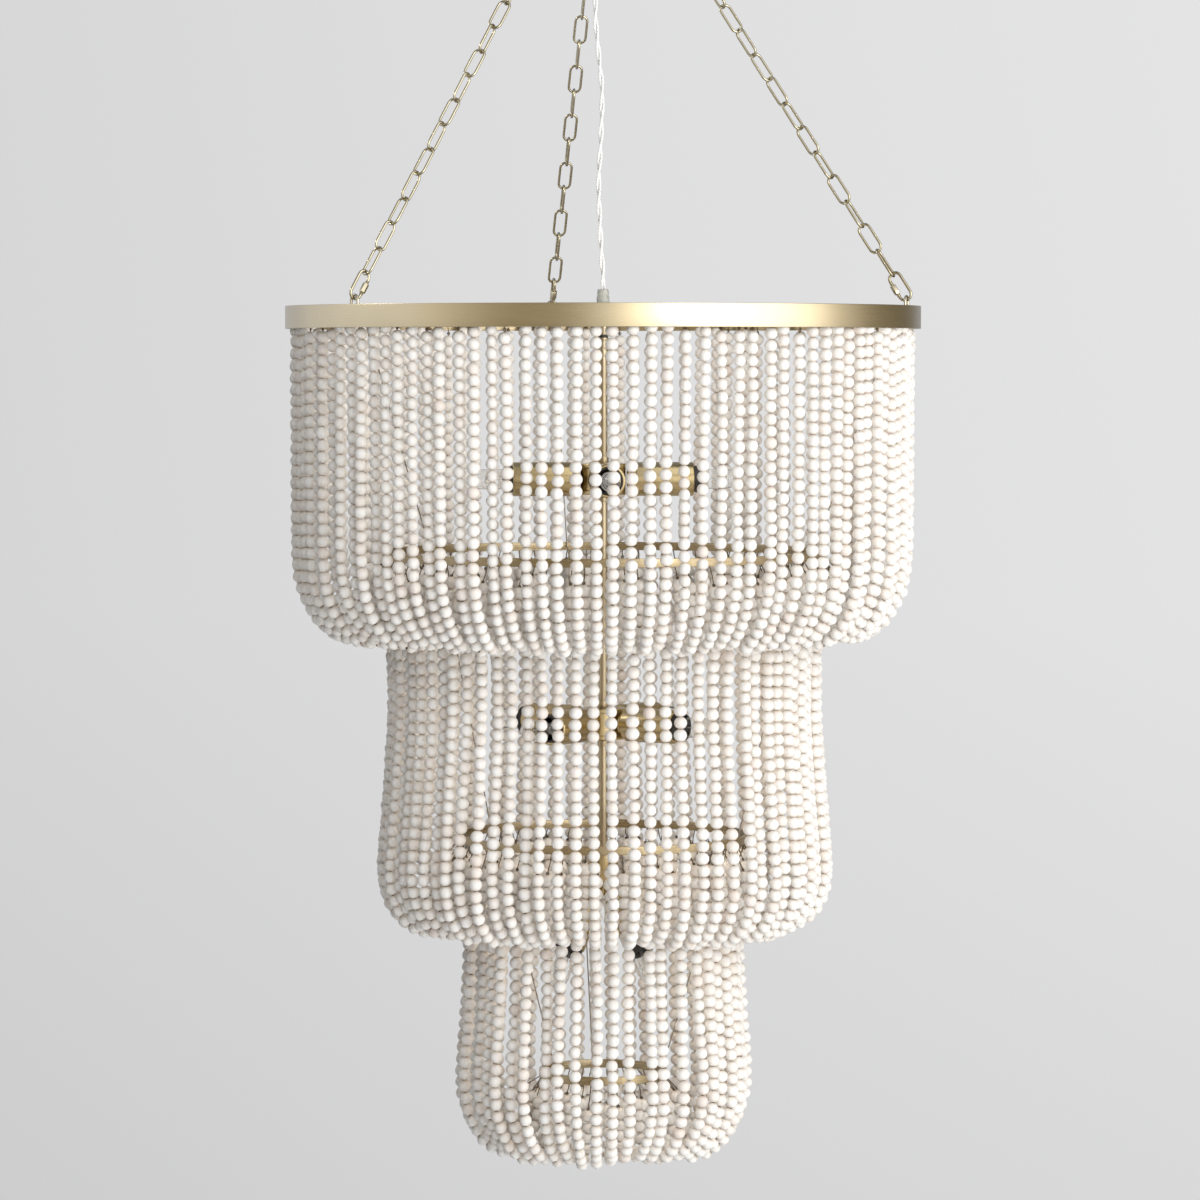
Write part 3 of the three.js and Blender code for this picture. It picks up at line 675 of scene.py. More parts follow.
def make_floor():
    """A pale floor below the object that fades out before its edge."""
    made = Finish("pale_floor", Roughness=0.9)
    length = made.node("ShaderNodeVectorMath", operation="LENGTH")
    made.link(made.node("ShaderNodeTexCoord").outputs["Object"], length.inputs[0])
    made.colour(made.ramp(made.noise(6), [(0.3, (0.70, 0.70, 0.705)), (0.7, (0.74, 0.74, 0.745))]))
    fade = made.node("ShaderNodeMapRange", interpolation_type="SMOOTHSTEP",
                     From_Min=1.0, From_Max=1.95, To_Min=1.0, To_Max=0.0)
    made.link(length.outputs["Value"], fade.inputs["Value"])
    made.link(fade.outputs["Result"], made.shader.inputs["Alpha"])
    edge = circle((0, 0, 0), FLOOR_RADIUS, (0, 0, 1), FLOOR_SIDES)
    floor = new_object("floor", edge / MM, [tuple(range(FLOOR_SIDES))], [made.material], smooth=False)
    floor.location.z = FLOOR_LEVEL


make_world()
area_light("key", (1.9, -3.2, -0.2), (0, 0, -0.95), 1.4, 17, (1.0, 0.985, 0.96))
area_light("left_fill", (-3.0, 0.1, 1.0), (0, 0, -0.9), 0.9, 25, (1.0, 0.97, 0.93))
inner_glow("upper_glow", 110, 90, 1.0)
inner_glow("middle_glow", 470, 70, 0.56)
inner_glow("lower_glow", 690, 50, 0.2)
make_floor()


# Rings
EYE_SUNK = 1


def make_top_ring():
    inner = TOP_RING_RADIUS - BAND_THICKNESS
    deep = FLANGE_DEPTH + FLANGE_THICKNESS
    band = rounded([
        (TOP_RING_RADIUS, 0), (TOP_RING_RADIUS, -TOP_RING_HEIGHT), (inner, -TOP_RING_HEIGHT),
        (inner, -deep), (inner - FLANGE_WIDTH, -deep), (inner - FLANGE_WIDTH, -FLANGE_DEPTH),
        (inner, -FLANGE_DEPTH), (inner, 0),
    ], 0.5)
    ring = Build().add(*lathe(band, 288, (0, 0, RING_TOP)))
    fittings = Build().add(*lathe(rounded([
        (0, HUB_TOP), (TOP_HUB_RADIUS, HUB_TOP), (TOP_HUB_RADIUS, HUB_TOP - TOP_HUB_HEIGHT),
        (0, HUB_TOP - TOP_HUB_HEIGHT),
    ], 0.8), 64, (0, 0, RING_TOP)))
    half = EYE_WIDTH / 2
    straight = EYE_HEIGHT + FLANGE_DEPTH + EYE_SUNK - half
    washer = rounded([(0, 0.9), (2.3, 0.9), (2.3, 0), (0, 0)], 0.3)
    for _, azimuth, _ in CHAINS:
        rod = [spot(r, azimuth, down(SPOKE_DEPTH)) for r in (TOP_HUB_RADIUS - 1, 150, inner + 0.6)]
        fittings.add(*sweep(rod, SPOKE_RADIUS, 20))
        side = spot(1, azimuth + 90)
        foot = spot(EYE_RADIUS, azimuth, down(FLANGE_DEPTH + EYE_SUNK))
        loop = [foot + side * half, foot + side * half + (0, 0, straight)]
        for turn in np.linspace(0.15, math.pi - 0.15, 11):
            loop.append(foot + side * half * math.cos(turn) + (0, 0, straight + half * math.sin(turn)))
        loop += [foot - side * half + (0, 0, straight), foot - side * half]
        fittings.add(*sweep(loop, EYE_WIRE, 12))
        for end in (-1, 1):
            fittings.add(*lathe(washer, 20, foot + side * half * end + (0, 0, EYE_SUNK)))
    ring.make("top_ring_band", [BAND_BRASS], FIXTURE, "brass", ["top_ring"])
    fittings.make("top_ring_spokes_and_eyes", [BRASS], FIXTURE, "brass")


def make_small_rings():
    half = SMALL_BAND_HEIGHT / 2
    for name, radius, depth in SMALL_RINGS:
        band = rounded(hoop(radius, radius - BAND_THICKNESS, -half, half), 0.5)
        ring = Build().add(*lathe(band, 192, (0, 0, down(depth))))
        ring.make(f"{name}_band", [SHADED_RING_BRASS], FIXTURE, "brass", [name])


make_top_ring()
make_small_rings()


# Bead strands
BEAD_RADIUS = 6
BEAD_TURNS = (14, 32, 50, 70, 90, 110, 130, 148, 166)
# How far each ring of a bead is darkened towards its holes: partly worn whitewash, partly painted shade in
# the creases where beads meet
BEAD_CREASE_SHADE_AND_WEAR = (1.0, 0.6, 0.12, 0, 0, 0, 0.12, 0.6, 1.0)
BEAD_SIDES = 11
BEAD_PITCH = 11.6
BEAD_SPREAD = 0.022
BEAD_LEAN = 0.035
BEAD_SHIFT = 0.26
BEAD_OVAL = 0.008
# name, strands, sectors, sideways sway, inner stagger, bead girth, key points as (radius, depth)
TIERS = [
    ("upper_strands", 112, ("right", "back", "left"), 1.1, 0.3, 1.03, [
        (305.5, 0), (306, 120), (306, 200), (305, 255), (301, 280), (291, 302), (278, 318),
        (262, 327), (248, 320), (238, 302), (232, 282), (229.5, 262), (229, 251),
    ]),
    ("middle_strands", 78, ("right", "back", "left"), 1.6, 2.6, 1.05, [
        (217, 251), (213, 320), (211, 393), (216, 480), (221, 540), (221.5, 566), (215, 592),
        (202, 609), (186, 616), (170, 608), (160, 588), (154.5, 562), (152.5, 534),
    ]),
    ("lower_strands", 49, ("right", "left"), 2.4, 4.6, 1.06, [
        (140, 534), (136, 590), (136, 640), (139, 705), (143.5, 765), (141.5, 792), (131, 819),
        (118, 834), (104, 841), (90, 833), (79, 812), (73.5, 790), (71, 771),
    ]),
]
BACK_SHIFT = 0.4
FRONT_TURN = 0.3
DRAWN_IN = 4.6
GIRTH_SPREAD = 0.055
MOST_SAG = 2.5
LINE_STEP = 0.8
HOLE_MOUTH = 5.4
HOOK_WIRE = 0.55
STRAND_HOLD = 10.5
rng = np.random.default_rng(20)


def bead_template():
    """One bead's vertices, side faces and the two flat caps, painted dark as the shade inside its drilled
    holes.
    """
    turns = np.linspace(0, 2 * math.pi, BEAD_SIDES, endpoint=False)
    profile = [(BEAD_RADIUS * math.sin(t), BEAD_RADIUS * math.cos(t)) for t in np.radians(BEAD_TURNS)]
    vertices = np.array([(r * math.cos(a), r * math.sin(a), z) for r, z in profile for a in turns])
    quads = []
    for i in range(len(BEAD_TURNS) - 1):
        for j in range(BEAD_SIDES):
            k = (j + 1) % BEAD_SIDES
            quads.append((i * BEAD_SIDES + j, (i + 1) * BEAD_SIDES + j,
                          (i + 1) * BEAD_SIDES + k, i * BEAD_SIDES + k))
    last = (len(BEAD_TURNS) - 1) * BEAD_SIDES
    caps = [list(range(BEAD_SIDES)), [last + j for j in range(BEAD_SIDES)][::-1]]
    return vertices, quads, caps


def strand_line(tier, index):
    """The middle line of one strand in space, from its top bead to its last one."""
    name, strands, _, sway, stagger, girth, keys = tier
    first = name == "upper_strands"
    keys = np.array(keys, float)
    azimuth = (index + 0.5) * 360 / strands
    azimuth += FRONT_TURN + BACK_SHIFT * 360 / strands * math.sin(math.radians(azimuth) / 2) ** 2
    sag = min(rng.normal(0, 2.6), MOST_SAG)
    swell = rng.normal(0, 0.8 if first else 1.8)
    side = stagger if index % 2 else -stagger
    drawn = DRAWN_IN * rng.uniform(0.6, 1.0) if rng.random() < (0.85 if index % 2 else 0.15) else 0
    along = np.linspace(0, 1, len(keys))
    low = np.clip((keys[:, 1] - keys[:, 1].min()) / np.ptp(keys[:, 1]), 0, 1)
    keys[:, 0] += side * np.clip(2.4 * along - 1.3, 0, 1)
    keys[:, 0] += (swell - drawn) * np.sin(math.pi * np.clip(along * 1.4, 0, 1)) ** 0.5
    keys[:, 1] += sag * low ** 3 * (1 - 0.2 * along)
    start = keys[0, 1] + (rng.uniform(15.6, 27.3) if first else rng.uniform(8, 19.7))
    end = keys[-1, 1] + rng.uniform(6, 11)
    flat = through(np.column_stack([keys, np.zeros(len(keys))]), LINE_STEP)[:, :2]
    turn = int(np.argmax(flat[:, 1]))
    fall = flat[:turn][flat[:turn, 1] > start]
    rise = flat[turn:][flat[turn:, 1] > end]
    line = np.vstack([fall, rise])
    share = np.linspace(0, 1, len(line))
    bottom = len(fall) / len(line)
    loose = np.interp(share, [0, 0.8 * bottom, min(1, 1.15 * bottom), 1], [1, 1, 0.25, 0.25])
    room = math.pi * keys[0, 0] / strands - BEAD_RADIUS * girth
    lean, bow = rng.uniform(-1, 1, 2)
    wave = rng.uniform(0, 2 * math.pi)
    drift = room * lean + sway * (bow * np.sin(math.pi * share) + 0.4 * np.sin(3 * math.pi * share + wave))
    turned = np.radians(azimuth) + loose * np.clip(drift, -room, room) / line[:, 0]
    z = RING_TOP - line[:, 1]
    return np.column_stack([line[:, 0] * np.sin(turned), -line[:, 0] * np.cos(turned), z]), azimuth


def place_beads(line, girth):
    """Centres, axes, lengths and girths of the beads on a strand's line, from its top end."""
    along = np.concatenate([[0], np.cumsum(np.linalg.norm(np.diff(line, axis=0), axis=1))])
    heights = BEAD_PITCH * rng.normal(1, BEAD_SPREAD, int(along[-1] / BEAD_PITCH) + 4)
    heights *= rng.uniform(0.99, 1.01)
    ends = np.cumsum(heights)
    count = int(np.searchsorted(ends, along[-1] - 1))
    heights = heights[:count]
    places = ends[:count] - heights / 2
    behind, at, ahead = (
        np.column_stack([np.interp(places + shift, along, line[:, k]) for k in range(3)])
        for shift in (-BEAD_RADIUS / 2, 0, BEAD_RADIUS / 2))
    girths = np.full(count, girth * rng.uniform(1 - GIRTH_SPREAD, 1 + GIRTH_SPREAD))
    return at, ahead - behind, heights / BEAD_PITCH, girths


def make_beads(node, centres, axes, sizes, girths):
    """All beads of one sector in one mesh, each with its own lean, turn, size and tint."""
    name = f"{node}_beads"
    template, quads, caps = bead_template()
    count = len(centres)
    w = units(units(axes) + rng.normal(0, BEAD_LEAN, axes.shape))
    helper = np.where(np.abs(w[:, 2:3]) < 0.8, [[0.0, 0.0, 1.0]], [[1.0, 0.0, 0.0]])
    u = units(np.cross(helper, w))
    spin = rng.uniform(0, 2 * math.pi, count)[:, None]
    u = np.cos(spin) * u + np.sin(spin) * np.cross(w, u)
    v = np.cross(w, u)
    girth = girths * (sizes * rng.normal(0.985, 0.012, count)).clip(0.93, 1.03)
    flat = rng.normal(0, BEAD_OVAL, count)
    stretch = np.column_stack([girth * (1 + flat), girth * (1 - flat), sizes])
    local = template[None] * stretch[:, None]
    places = (centres + rng.normal(0, BEAD_SHIFT, centres.shape))[:, None] + (
        local[..., 0:1] * u[:, None] + local[..., 1:2] * v[:, None] + local[..., 2:3] * w[:, None])
    base = np.arange(count)[:, None] * len(template)
    quad_loops = (np.array(quads).reshape(1, -1) + base).reshape(-1)
    cap_loops = (np.array(caps).reshape(1, -1) + base).reshape(-1)
    mesh = bpy.data.meshes.new(name)
    mesh.vertices.add(count * len(template))
    mesh.vertices.foreach_set("co", (places * MM).reshape(-1))
    mesh.loops.add(len(quad_loops) + len(cap_loops))
    mesh.loops.foreach_set("vertex_index", np.concatenate([quad_loops, cap_loops]).astype(np.int32))
    faces = count * (len(quads) + 2)
    starts = np.concatenate([
        np.arange(count * len(quads)) * 4,
        len(quad_loops) + np.arange(count * 2) * BEAD_SIDES,
    ])
    mesh.polygons.add(faces)
    mesh.polygons.foreach_set("loop_start", starts.astype(np.int32))
    for material in (BEAD, HOLE):
        mesh.materials.append(material)
    mesh.polygons.foreach_set("material_index", np.concatenate([
        np.zeros(count * len(quads), np.int32), np.ones(count * 2, np.int32)]))
    mesh.polygons.foreach_set("use_smooth", np.ones(faces, bool))
    tint = mesh.attributes.new("tint", "FLOAT", "POINT")
    shade = np.repeat(rng.beta(2.2, 1.6, count).astype(np.float32), len(template))
    tint.data.foreach_set("value", shade)
    # Weight of the darkening near the holes, per vertex: wear and painted crease shade
    crease_shade_and_wear = mesh.attributes.new("crease_shade_and_wear", "FLOAT", "POINT")
    crease_shade_and_wear.data.foreach_set("value", np.tile(np.repeat(BEAD_CREASE_SHADE_AND_WEAR, BEAD_SIDES), count).astype(np.float32))
    mesh.update(calc_edges=True)
    made = bpy.data.objects.new(name, mesh)
    bpy.context.collection.objects.link(made)
    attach(made, FIXTURE)
    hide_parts(node)


def hook_path(hold, bead_top, away):
    """A wire from a ring's lower edge to an eye close to a bead, and on into its hole."""
    toward = hold - bead_top
    toward = toward / np.linalg.norm(toward)
    eye = bead_top + toward * 2.3
    ring = [eye + 1.35 * (toward * math.cos(a) + away * math.sin(a))
            for a in np.linspace(0, 2 * math.pi, 9)[:-1]]
    return [hold, (hold + ring[0]) / 2 + away * 0.5, *ring, ring[0] - toward * 0.4 + away * 0.3,
            bead_top + toward * 0.6, bead_top - toward * 1.2]


def make_tier(index, tier):
    name, strands, sectors, _, _, girth, _ = tier
    _, inner_radius, inner_depth = SMALL_RINGS[index]
    if index == 0:
        hang_radius, hang_depth = TOP_RING_RADIUS - STRAND_HOLD, FLANGE_DEPTH + FLANGE_THICKNESS
    else:
        _, outer_radius, outer_depth = SMALL_RINGS[index - 1]
        hang_radius, hang_depth = outer_radius - BAND_THICKNESS / 2, outer_depth + SMALL_BAND_HEIGHT / 2
    lots = [([], [], [], []) for _ in sectors]
    hooks = Build()
    for i in range(strands):
        line, azimuth = strand_line(tier, i)
        centres, axes, sizes, girths = place_beads(line, girth)
        sector = min(len(sectors) - 1, int((i + 0.5) / strands * len(sectors)))
        for kept, found in zip(lots[sector], (centres, axes, sizes, girths)):
            kept.append(found)
        side = spot(1, azimuth + 90)
        ends = (
            (centres[0], centres[1], hang_radius, hang_depth),
            (centres[-1], centres[-2], inner_radius - BAND_THICKNESS / 2,
             inner_depth + SMALL_BAND_HEIGHT / 2),
        )
        for bead, beside, radius, depth in ends:
            bead_top = bead + HOLE_MOUTH * (bead - beside) / BEAD_PITCH
            at = math.degrees(math.atan2(bead_top[0], -bead_top[1]))
            hold = spot(radius, at, down(depth) + 0.2)
            hooks.add(*sweep(hook_path(hold, bead_top, side), HOOK_WIRE, 6))
    for sector, lot in zip(sectors, lots):
        make_beads(f"{name}_{sector}", *(np.concatenate(found) for found in lot))
    hooks.make(f"{name}_hooks", [WIRE], FIXTURE, "dark_wire")


for tier_index, tier_values in enumerate(TIERS):
    make_tier(tier_index, tier_values)


# Hanger wires with crimps. They run just inside the faceted bands of the solids.
FLANGE_FACETS = 48
MIDDLE_FACETS = 48
LOWER_FACETS = 40
HANGER_WIRE = 0.62
CRIMP_RADIUS = 1.15
CRIMP_LENGTH = 7
CRIMP_PLACES = (14, 38)


def inside_facets(radius, facets):
    return radius * math.cos(math.pi / facets) - 1


def make_hanger_wires():
    start = inside_facets(TOP_RING_RADIUS - BAND_THICKNESS - FLANGE_WIDTH, FLANGE_FACETS)
    _, last_radius, last_depth = SMALL_RINGS[2]
    route = [(start, SPOKE_DEPTH + SPOKE_RADIUS + GAP), (start, FLANGE_DEPTH + FLANGE_THICKNESS + 4)]
    long_runs = [1]
    for (_, radius, depth), facets in zip(SMALL_RINGS, (MIDDLE_FACETS, LOWER_FACETS)):
        beside = inside_facets(radius - BAND_THICKNESS, facets)
        route += [(beside, depth - SMALL_BAND_HEIGHT / 2 - 1), (beside, depth),
                  (beside - 12, depth + SMALL_BAND_HEIGHT / 2),
                  (beside - 14, depth + 2 * SMALL_BAND_HEIGHT)]
        long_runs.append(len(route) - 1)
    foot = last_radius - BAND_THICKNESS / 2
    route += [(foot, last_depth - SMALL_BAND_HEIGHT), (foot, last_depth - SMALL_BAND_HEIGHT / 2 - GAP)]
    for name, azimuth, _ in CHAINS:
        points = np.array([spot(r, azimuth, down(d)) for r, d in route])
        runs = [respaced(points[i:i + 2], 30)[:-1] for i in range(len(points) - 1)]
        wire = Build().add(*sweep(np.vstack([*runs, points[-1:]]), HANGER_WIRE, 8))
        for i in long_runs:
            along = points[i + 1] - points[i]
            along = along / np.linalg.norm(along)
            for at in CRIMP_PLACES:
                crimp = [points[i] + along * at, points[i] + along * (at + CRIMP_LENGTH)]
                wire.add(*sweep(crimp, CRIMP_RADIUS, 10))
        node = f"hanger_wire_{name}"
        wire.make(f"{node}_crimped", [THIN_WIRE], FIXTURE, "dark_wire", [node])


make_hanger_wires()


# Stem, hubs, sockets and bulbs
GLASS_WALL = 0.55


def make_stem():
    top = HUB_TOP - TOP_HUB_HEIGHT - GAP
    coupling = Build().add(*lathe(rounded([
        (0, top), (7, top), (7, top - 12), (4.9, top - 12), (4.9, top - 15), (5.5, top - 15),
        (5.5, top - 17), (5.1, top - 17.5), (5.1, top - 18.5), (5.5, top - 19), (5.5, top - 26),
        (0, top - 26),
    ], 0.4), 48, (0, 0, RING_TOP)))
    coupling.add(*lathe([(4.95, top - 12.2), (5.05, top - 12.2), (5.05, top - 14.8), (4.95, top - 14.8)],
                        48, (0, 0, RING_TOP)), slot=1)
    coupling.make("stem_coupling_turned", [SHADED_STEM_BRASS, LINER], FIXTURE, "brass", ["stem_coupling"])
    for label in ("upper_stem", "middle_stem", "lower_stem"):
        low, high = (corner.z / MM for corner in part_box(label))
        pipe = Build().add(*lathe(rounded(hoop(STEM_RADIUS, STEM_BORE, low, high), 0.3), 40))
        for end in (high - 7, low + 1):
            collar = hoop(STEM_RADIUS + 1.2, STEM_RADIUS - 0.1, end, end + 6)
            pipe.add(*lathe(rounded(collar, 0.5), 40))
        pipe.make(f"{label}_pipe", [SHADED_STEM_BRASS], FIXTURE, "brass", [label])


def hub_profile(tilt, radius):
    """A grooved cylinder for level lamps, or a cone square to tilted ones with a finial below."""
    half = HUB_HEIGHT / 2
    if not tilt:
        return [(0, half), (radius, half), (radius, half - 4), (radius - 0.9, half - 4.6),
                (radius - 0.9, 4.6 - half), (radius, 4 - half), (radius, -half), (0, -half)]
    slope = math.tan(math.radians(90 - tilt))
    touch = CONE_REACH / math.sin(math.radians(tilt))
    foot = slope * FINIAL_RADIUS - touch
    return [(0, 15), (radius, 15), (radius, slope * radius - touch), (FINIAL_RADIUS, foot),
            (FINIAL_RADIUS, foot - 6), (2.6, foot - 7.6), (0, foot - 8)]


def make_lamp(label, centre, direction, cup, neck, seat, start):
    floor = SOCKET_REACH - CUP_DEPTH
    lip = SOCKET_REACH - COLLAR_PROUD
    collar = min(COLLAR_RADIUS, cup - 1.6)
    bore = collar - COLLAR_WALL
    shell = Build().add(*lathe(rounded([
        (0, seat), (neck, seat), (neck, start - 1.2), (cup - 1.6, start), (cup, start + 2.2),
        (cup, lip - 1.2), (cup - 1.2, lip), (collar + 0.1, lip), (collar + 0.1, floor + 0.4),
        (0, floor + 0.4),
    ], 0.7), 48, centre, direction))
    foot = hoop(neck + 0.9, neck - 0.2, seat + 0.2, seat + 3.2)
    shell.add(*lathe(rounded(foot, 0.3), 40, centre, direction))
    shell.make(f"{label}_cup", [LAMP_BRASS_PAINTED_LIGHT], FIXTURE, "brass", [label])
    holder = Build().add(*lathe(rounded([
        (collar, SOCKET_REACH), (collar, floor + 0.6), (7.6, floor + 0.6), (7.6, floor + 13),
        (8.9, floor + 13), (8.9, floor + 2.4), (bore, floor + 2.4), (bore, SOCKET_REACH),
    ], 0.4), 48, centre, direction))
    holder.make(f"{label}_collar", [LINER], FIXTURE, "brass")


def make_bulb(node, centre, direction):
    floor = SOCKET_REACH - CUP_DEPTH
    tip = SOCKET_REACH + BULB_REACH
    r = BULB_RADIUS
    outer = [(6.2, floor + 15), (7.2, floor + 17), (9.2, floor + 20), (r, floor + 24), (r, tip - 14),
             (9.0, tip - 8.5), (6.6, tip - 4), (3.4, tip - 1.2), (0, tip - 0.2)]
    inner = [(radius - GLASS_WALL, z - (GLASS_WALL if radius < 7 and z > SOCKET_REACH else 0))
             for radius, z in outer[:-1]]
    wall = rounded(outer, 1.0) + [(0, tip - 0.2 - GLASS_WALL)] + inner[::-1] + [outer[0]]
    glass = Build().add(*lathe(wall, 40, centre, direction))
    glass.make(f"{node}_envelope", [GLASS], node, "bulb_glass", [node])
    base = [(0, floor - 20), (3, floor - 20), (3.2, floor - 18)]
    for i in range(9):
        z = floor - 17 + 3.1 * i
        base += [(5.6, z), (6.1, z + 0.9), (6.1, z + 1.5), (5.6, z + 2.4)]
    base += [(5.9, floor + 12), (6.7, floor + 14), (6.7, floor + 16.4), (0, floor + 16.4)]
    metal = Build().add(*lathe(base, 28, centre, direction))
    glass_stem = [(0, floor + 16), (3.2, floor + 16), (2.2, floor + 24), (1.1, floor + 30), (0, floor + 31)]
    metal.add(*lathe(glass_stem, 16, centre, direction), slot=1)
    u, v, w = frame_of(direction)

    def at(across, beside, height):
        return np.asarray(centre) + u * across + v * beside + w * height

    post = floor + 42
    for side in (-1, 1):
        lead = [at(side * 1.2, 0, floor + 24), at(side * 2.6, 0, floor + 33), at(side * 3.6, 0, post)]
        metal.add(*sweep(lead, 0.28, 6))
    coil = []
    for t in np.linspace(0, 1, 60):
        arch = post + 5.5 * math.sin(math.pi * t)
        coil.append(at(-3.6 + 7.2 * t, 0.55 * math.sin(40 * t), arch + 0.55 * math.cos(40 * t)))
    metal.add(*sweep(coil, 0.22, 5))
    metal.make(f"{node}_base_and_filament", [STEEL, GLASS], node, "bulb_glass")


def make_clusters():
    for name, depth, azimuth, tilt, radius, cup, neck in CLUSTERS:
        centre = (0, 0, down(depth))
        hub = Build().add(*lathe(rounded(hub_profile(tilt, radius), 0.9), 64, centre))
        hub.make(f"{name}_hub_body", [LAMP_BRASS_PAINTED_LIGHT], FIXTURE, "brass", [f"{name}_hub"])
        seat = (CONE_REACH if tilt else radius) + GAP
        start = seat + (TILTED_NECK if tilt else LEVEL_NECK)
        lean = math.radians(tilt)
        for i in range(4):
            direction = spot(math.cos(lean), azimuth + 90 * i, -math.sin(lean))
            make_lamp(f"{name}_socket_{i + 1}", centre, direction, cup, neck, seat, start)
            make_bulb(f"{name}_bulb_{i + 1}", centre, direction)


make_stem()
make_clusters()


# Chains
BEND_POINTS = 9
MASTER_GAP = 0.4


def oval(centre, long, normal, length, width, wire):
    """The middle line of a long round-ended link."""
    side = np.cross(long, normal)
    r = width / 2 - wire
    straight = length / 2 - wire - r
    points = []
    for start, shift in ((-math.pi / 2, straight), (math.pi / 2, -straight)):
        for turn in np.linspace(start, start + math.pi, BEND_POINTS):
            points.append(centre + long * (shift + r * math.cos(turn)) + side * r * math.sin(turn))
    spread = []
    for a, b in zip(points, [*points[1:], points[0]]):
        spread.append(a)
        if np.linalg.norm(b - a) > r:
            spread.extend([a + (b - a) * t for t in (0.25, 0.5, 0.75)])
    return spread


def make_chain(name, azimuth, seat_turn):
    eye = spot(EYE_RADIUS, azimuth, RING_TOP + EYE_HEIGHT)
    turn = math.radians(seat_turn)
    seat = np.array([0, MASTER_RADIUS * math.sin(turn), MASTER_CENTRE - MASTER_RADIUS * math.cos(turn)])
    reach = np.linalg.norm(seat - eye)
    up = (seat - eye) / reach

    def square(vector):
        flat = vector - up * np.dot(vector, up)
        return flat / np.linalg.norm(flat)

    quick_normal = square(spot(1, azimuth + 90))
    quick_side = np.cross(up, quick_normal)
    foot = EYE_WIRE + GAP + QUICK_WIRE
    span = QUICK_LENGTH - 2 * QUICK_WIRE
    centre = eye + up * (span / 2 - foot)
    wire = oval(centre, up, quick_normal, QUICK_LENGTH, QUICK_WIDTH, QUICK_WIRE)
    quick = Build().add(*sweep(wire, QUICK_WIRE, 12, looped=True))
    at = centre + quick_side * (QUICK_WIDTH / 2 - QUICK_WIRE)
    nut = [(0, -5), (2.7, -5), (3.1, -4.5), (3.1, 4.5), (2.7, 5), (0, 5)]
    quick.add(*lathe(nut, 6, at, up))
    for z in (-7.4, -6.6, -5.8, 5.8, 6.6, 7.4):
        thread = [(0, z - 0.3), (1.72, z - 0.3), (1.85, z), (1.72, z + 0.3), (0, z + 0.3)]
        quick.add(*lathe(thread, 16, at, up))
    quick.make(f"quick_link_{name}_wire", [CHAIN_BRASS], FIXTURE, "brass", [f"quick_link_{name}"])

    first_foot = span - foot - QUICK_WIRE - GAP - LINK_WIRE
    link_span = LINK_LENGTH - 2 * LINK_WIRE
    overhang = MASTER_WIRE + MASTER_GAP + LINK_WIRE
    pitch = (reach - first_foot - link_span + overhang) / (LINK_COUNT - 1)
    top_normal = square(np.array([0.0, 1.0, 0.0]))
    wanted = math.atan2(quick_side.dot(top_normal), quick_normal.dot(top_normal))
    quarter = math.pi / 2
    rest = wanted - LINK_COUNT * quarter
    share = (rest - math.pi * round(rest / math.pi)) / (LINK_COUNT - 1)
    bead = [(0, -1.1), (1.3, -1.1), (1.48, -0.4), (1.48, 0.4), (1.3, 1.1), (0, 1.1)]
    chain = Build()
    for i in range(LINK_COUNT):
        angle = quarter * (i + 1) + share * i
        normal = quick_normal * math.cos(angle) + quick_side * math.sin(angle)
        centre = eye + up * (first_foot + link_span / 2 + i * pitch)
        wire = oval(centre, up, normal, LINK_LENGTH, LINK_WIDTH, LINK_WIRE)
        chain.add(*sweep(wire, LINK_WIRE, 10, looped=True))
        weld = centre + np.cross(up, normal) * (LINK_WIDTH / 2 - LINK_WIRE)
        chain.add(*lathe(bead, 12, weld, up))
    chain.make(f"chain_{name}_links", [CHAIN_BRASS], FIXTURE, "brass", [f"chain_{name}"])


for chain_values in CHAINS:
    make_chain(*chain_values)


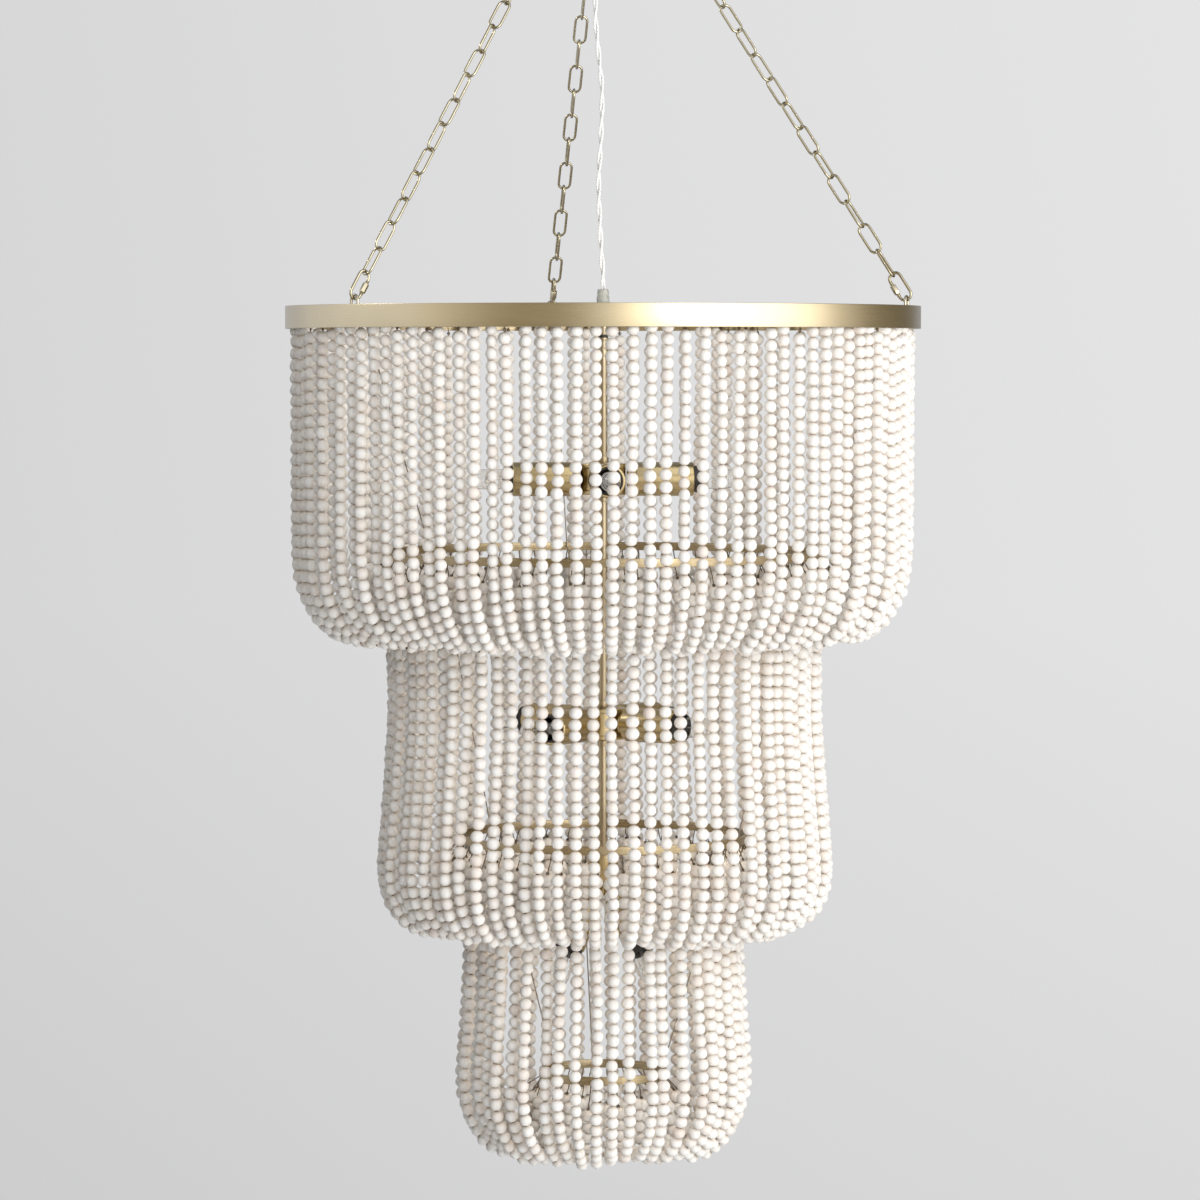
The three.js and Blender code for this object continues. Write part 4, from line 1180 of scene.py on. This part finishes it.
# Ceiling fittings
def make_ceiling():
    rim = CANOPY_RADIUS
    face = -CANOPY_DEPTH
    cup = rounded([
        (rim, 0), (rim, face + 6), (rim - 2.2, face + 1.8), (rim - 6, face), (18, face), (5.3, face),
        (5.3, face + 1.5), (rim - 7, face + 1.5), (rim - 3, face + 3.4), (rim - 1.5, face + 7),
        (rim - 1.5, 0),
    ], 0.8)
    canopy = Build().add(*lathe(cup, 160))
    canopy.make("canopy_cup", [BRASS], ROOT, "brass", ["ceiling_canopy"])
    grommet = Build().add(*lathe(rounded([
        (3.3, face + 3.4), (6.8, face + 3.4), (6.8, face + 1.8), (4.6, face + 1.8),
        (4.6, face - 0.3), (6.8, face - 0.3), (6.8, face - 1.9), (3.3, face - 1.9),
    ], 0.6), 40, (*CORD_HOLE, 0)))
    grommet.make("cord_bushing_moulded", [RUBBER], ROOT, "grommet", ["cord_bushing"])
    low, high = (corner.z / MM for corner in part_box("loop_collar"))
    grooves = []
    for i in range(5):
        z = high - 1.2 - i * 1.3
        grooves += [(12, z), (11.6, z - 0.3), (11.6, z - 0.6), (12, z - 0.9)]
    collar = Build().add(*lathe([(5.3, high), (11.4, high), *grooves, (11.4, low), (5.3, low)], 72))
    collar.make("loop_collar_knurled", [BRASS], ROOT, "brass", ["loop_collar"])
    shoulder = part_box("loop_collar")[0].z / MM - GAP
    shank = rounded([
        (0, -4.3), (5, -4.3), (5, shoulder), (9, shoulder), (9, shoulder - 4), (0, shoulder - 4),
    ], 0.6)
    loop = Build().add(*lathe(shank, 40))
    line = circle((0, 0, LOOP_CENTRE), LOOP_RADIUS, (0, 1, 0), 48)
    loop.add(*sweep(line, LOOP_WIRE, 14, looped=True))
    loop.make("hanging_loop_cast", [BRASS], ROOT, "brass", ["hanging_loop"])
    line = circle((0, 0, MASTER_CENTRE), MASTER_RADIUS, (1, 0, 0), 56)
    ring = Build().add(*sweep(line, MASTER_WIRE, 14, looped=True))
    ring.make("master_ring_wire", [BRASS], GATHER, "brass", ["master_ring"])
    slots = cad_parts["ceiling_bracket"].data.materials
    slots.clear()
    slots.append(STEEL)


make_ceiling()

bpy.context.scene.view_settings.view_transform = "Standard"
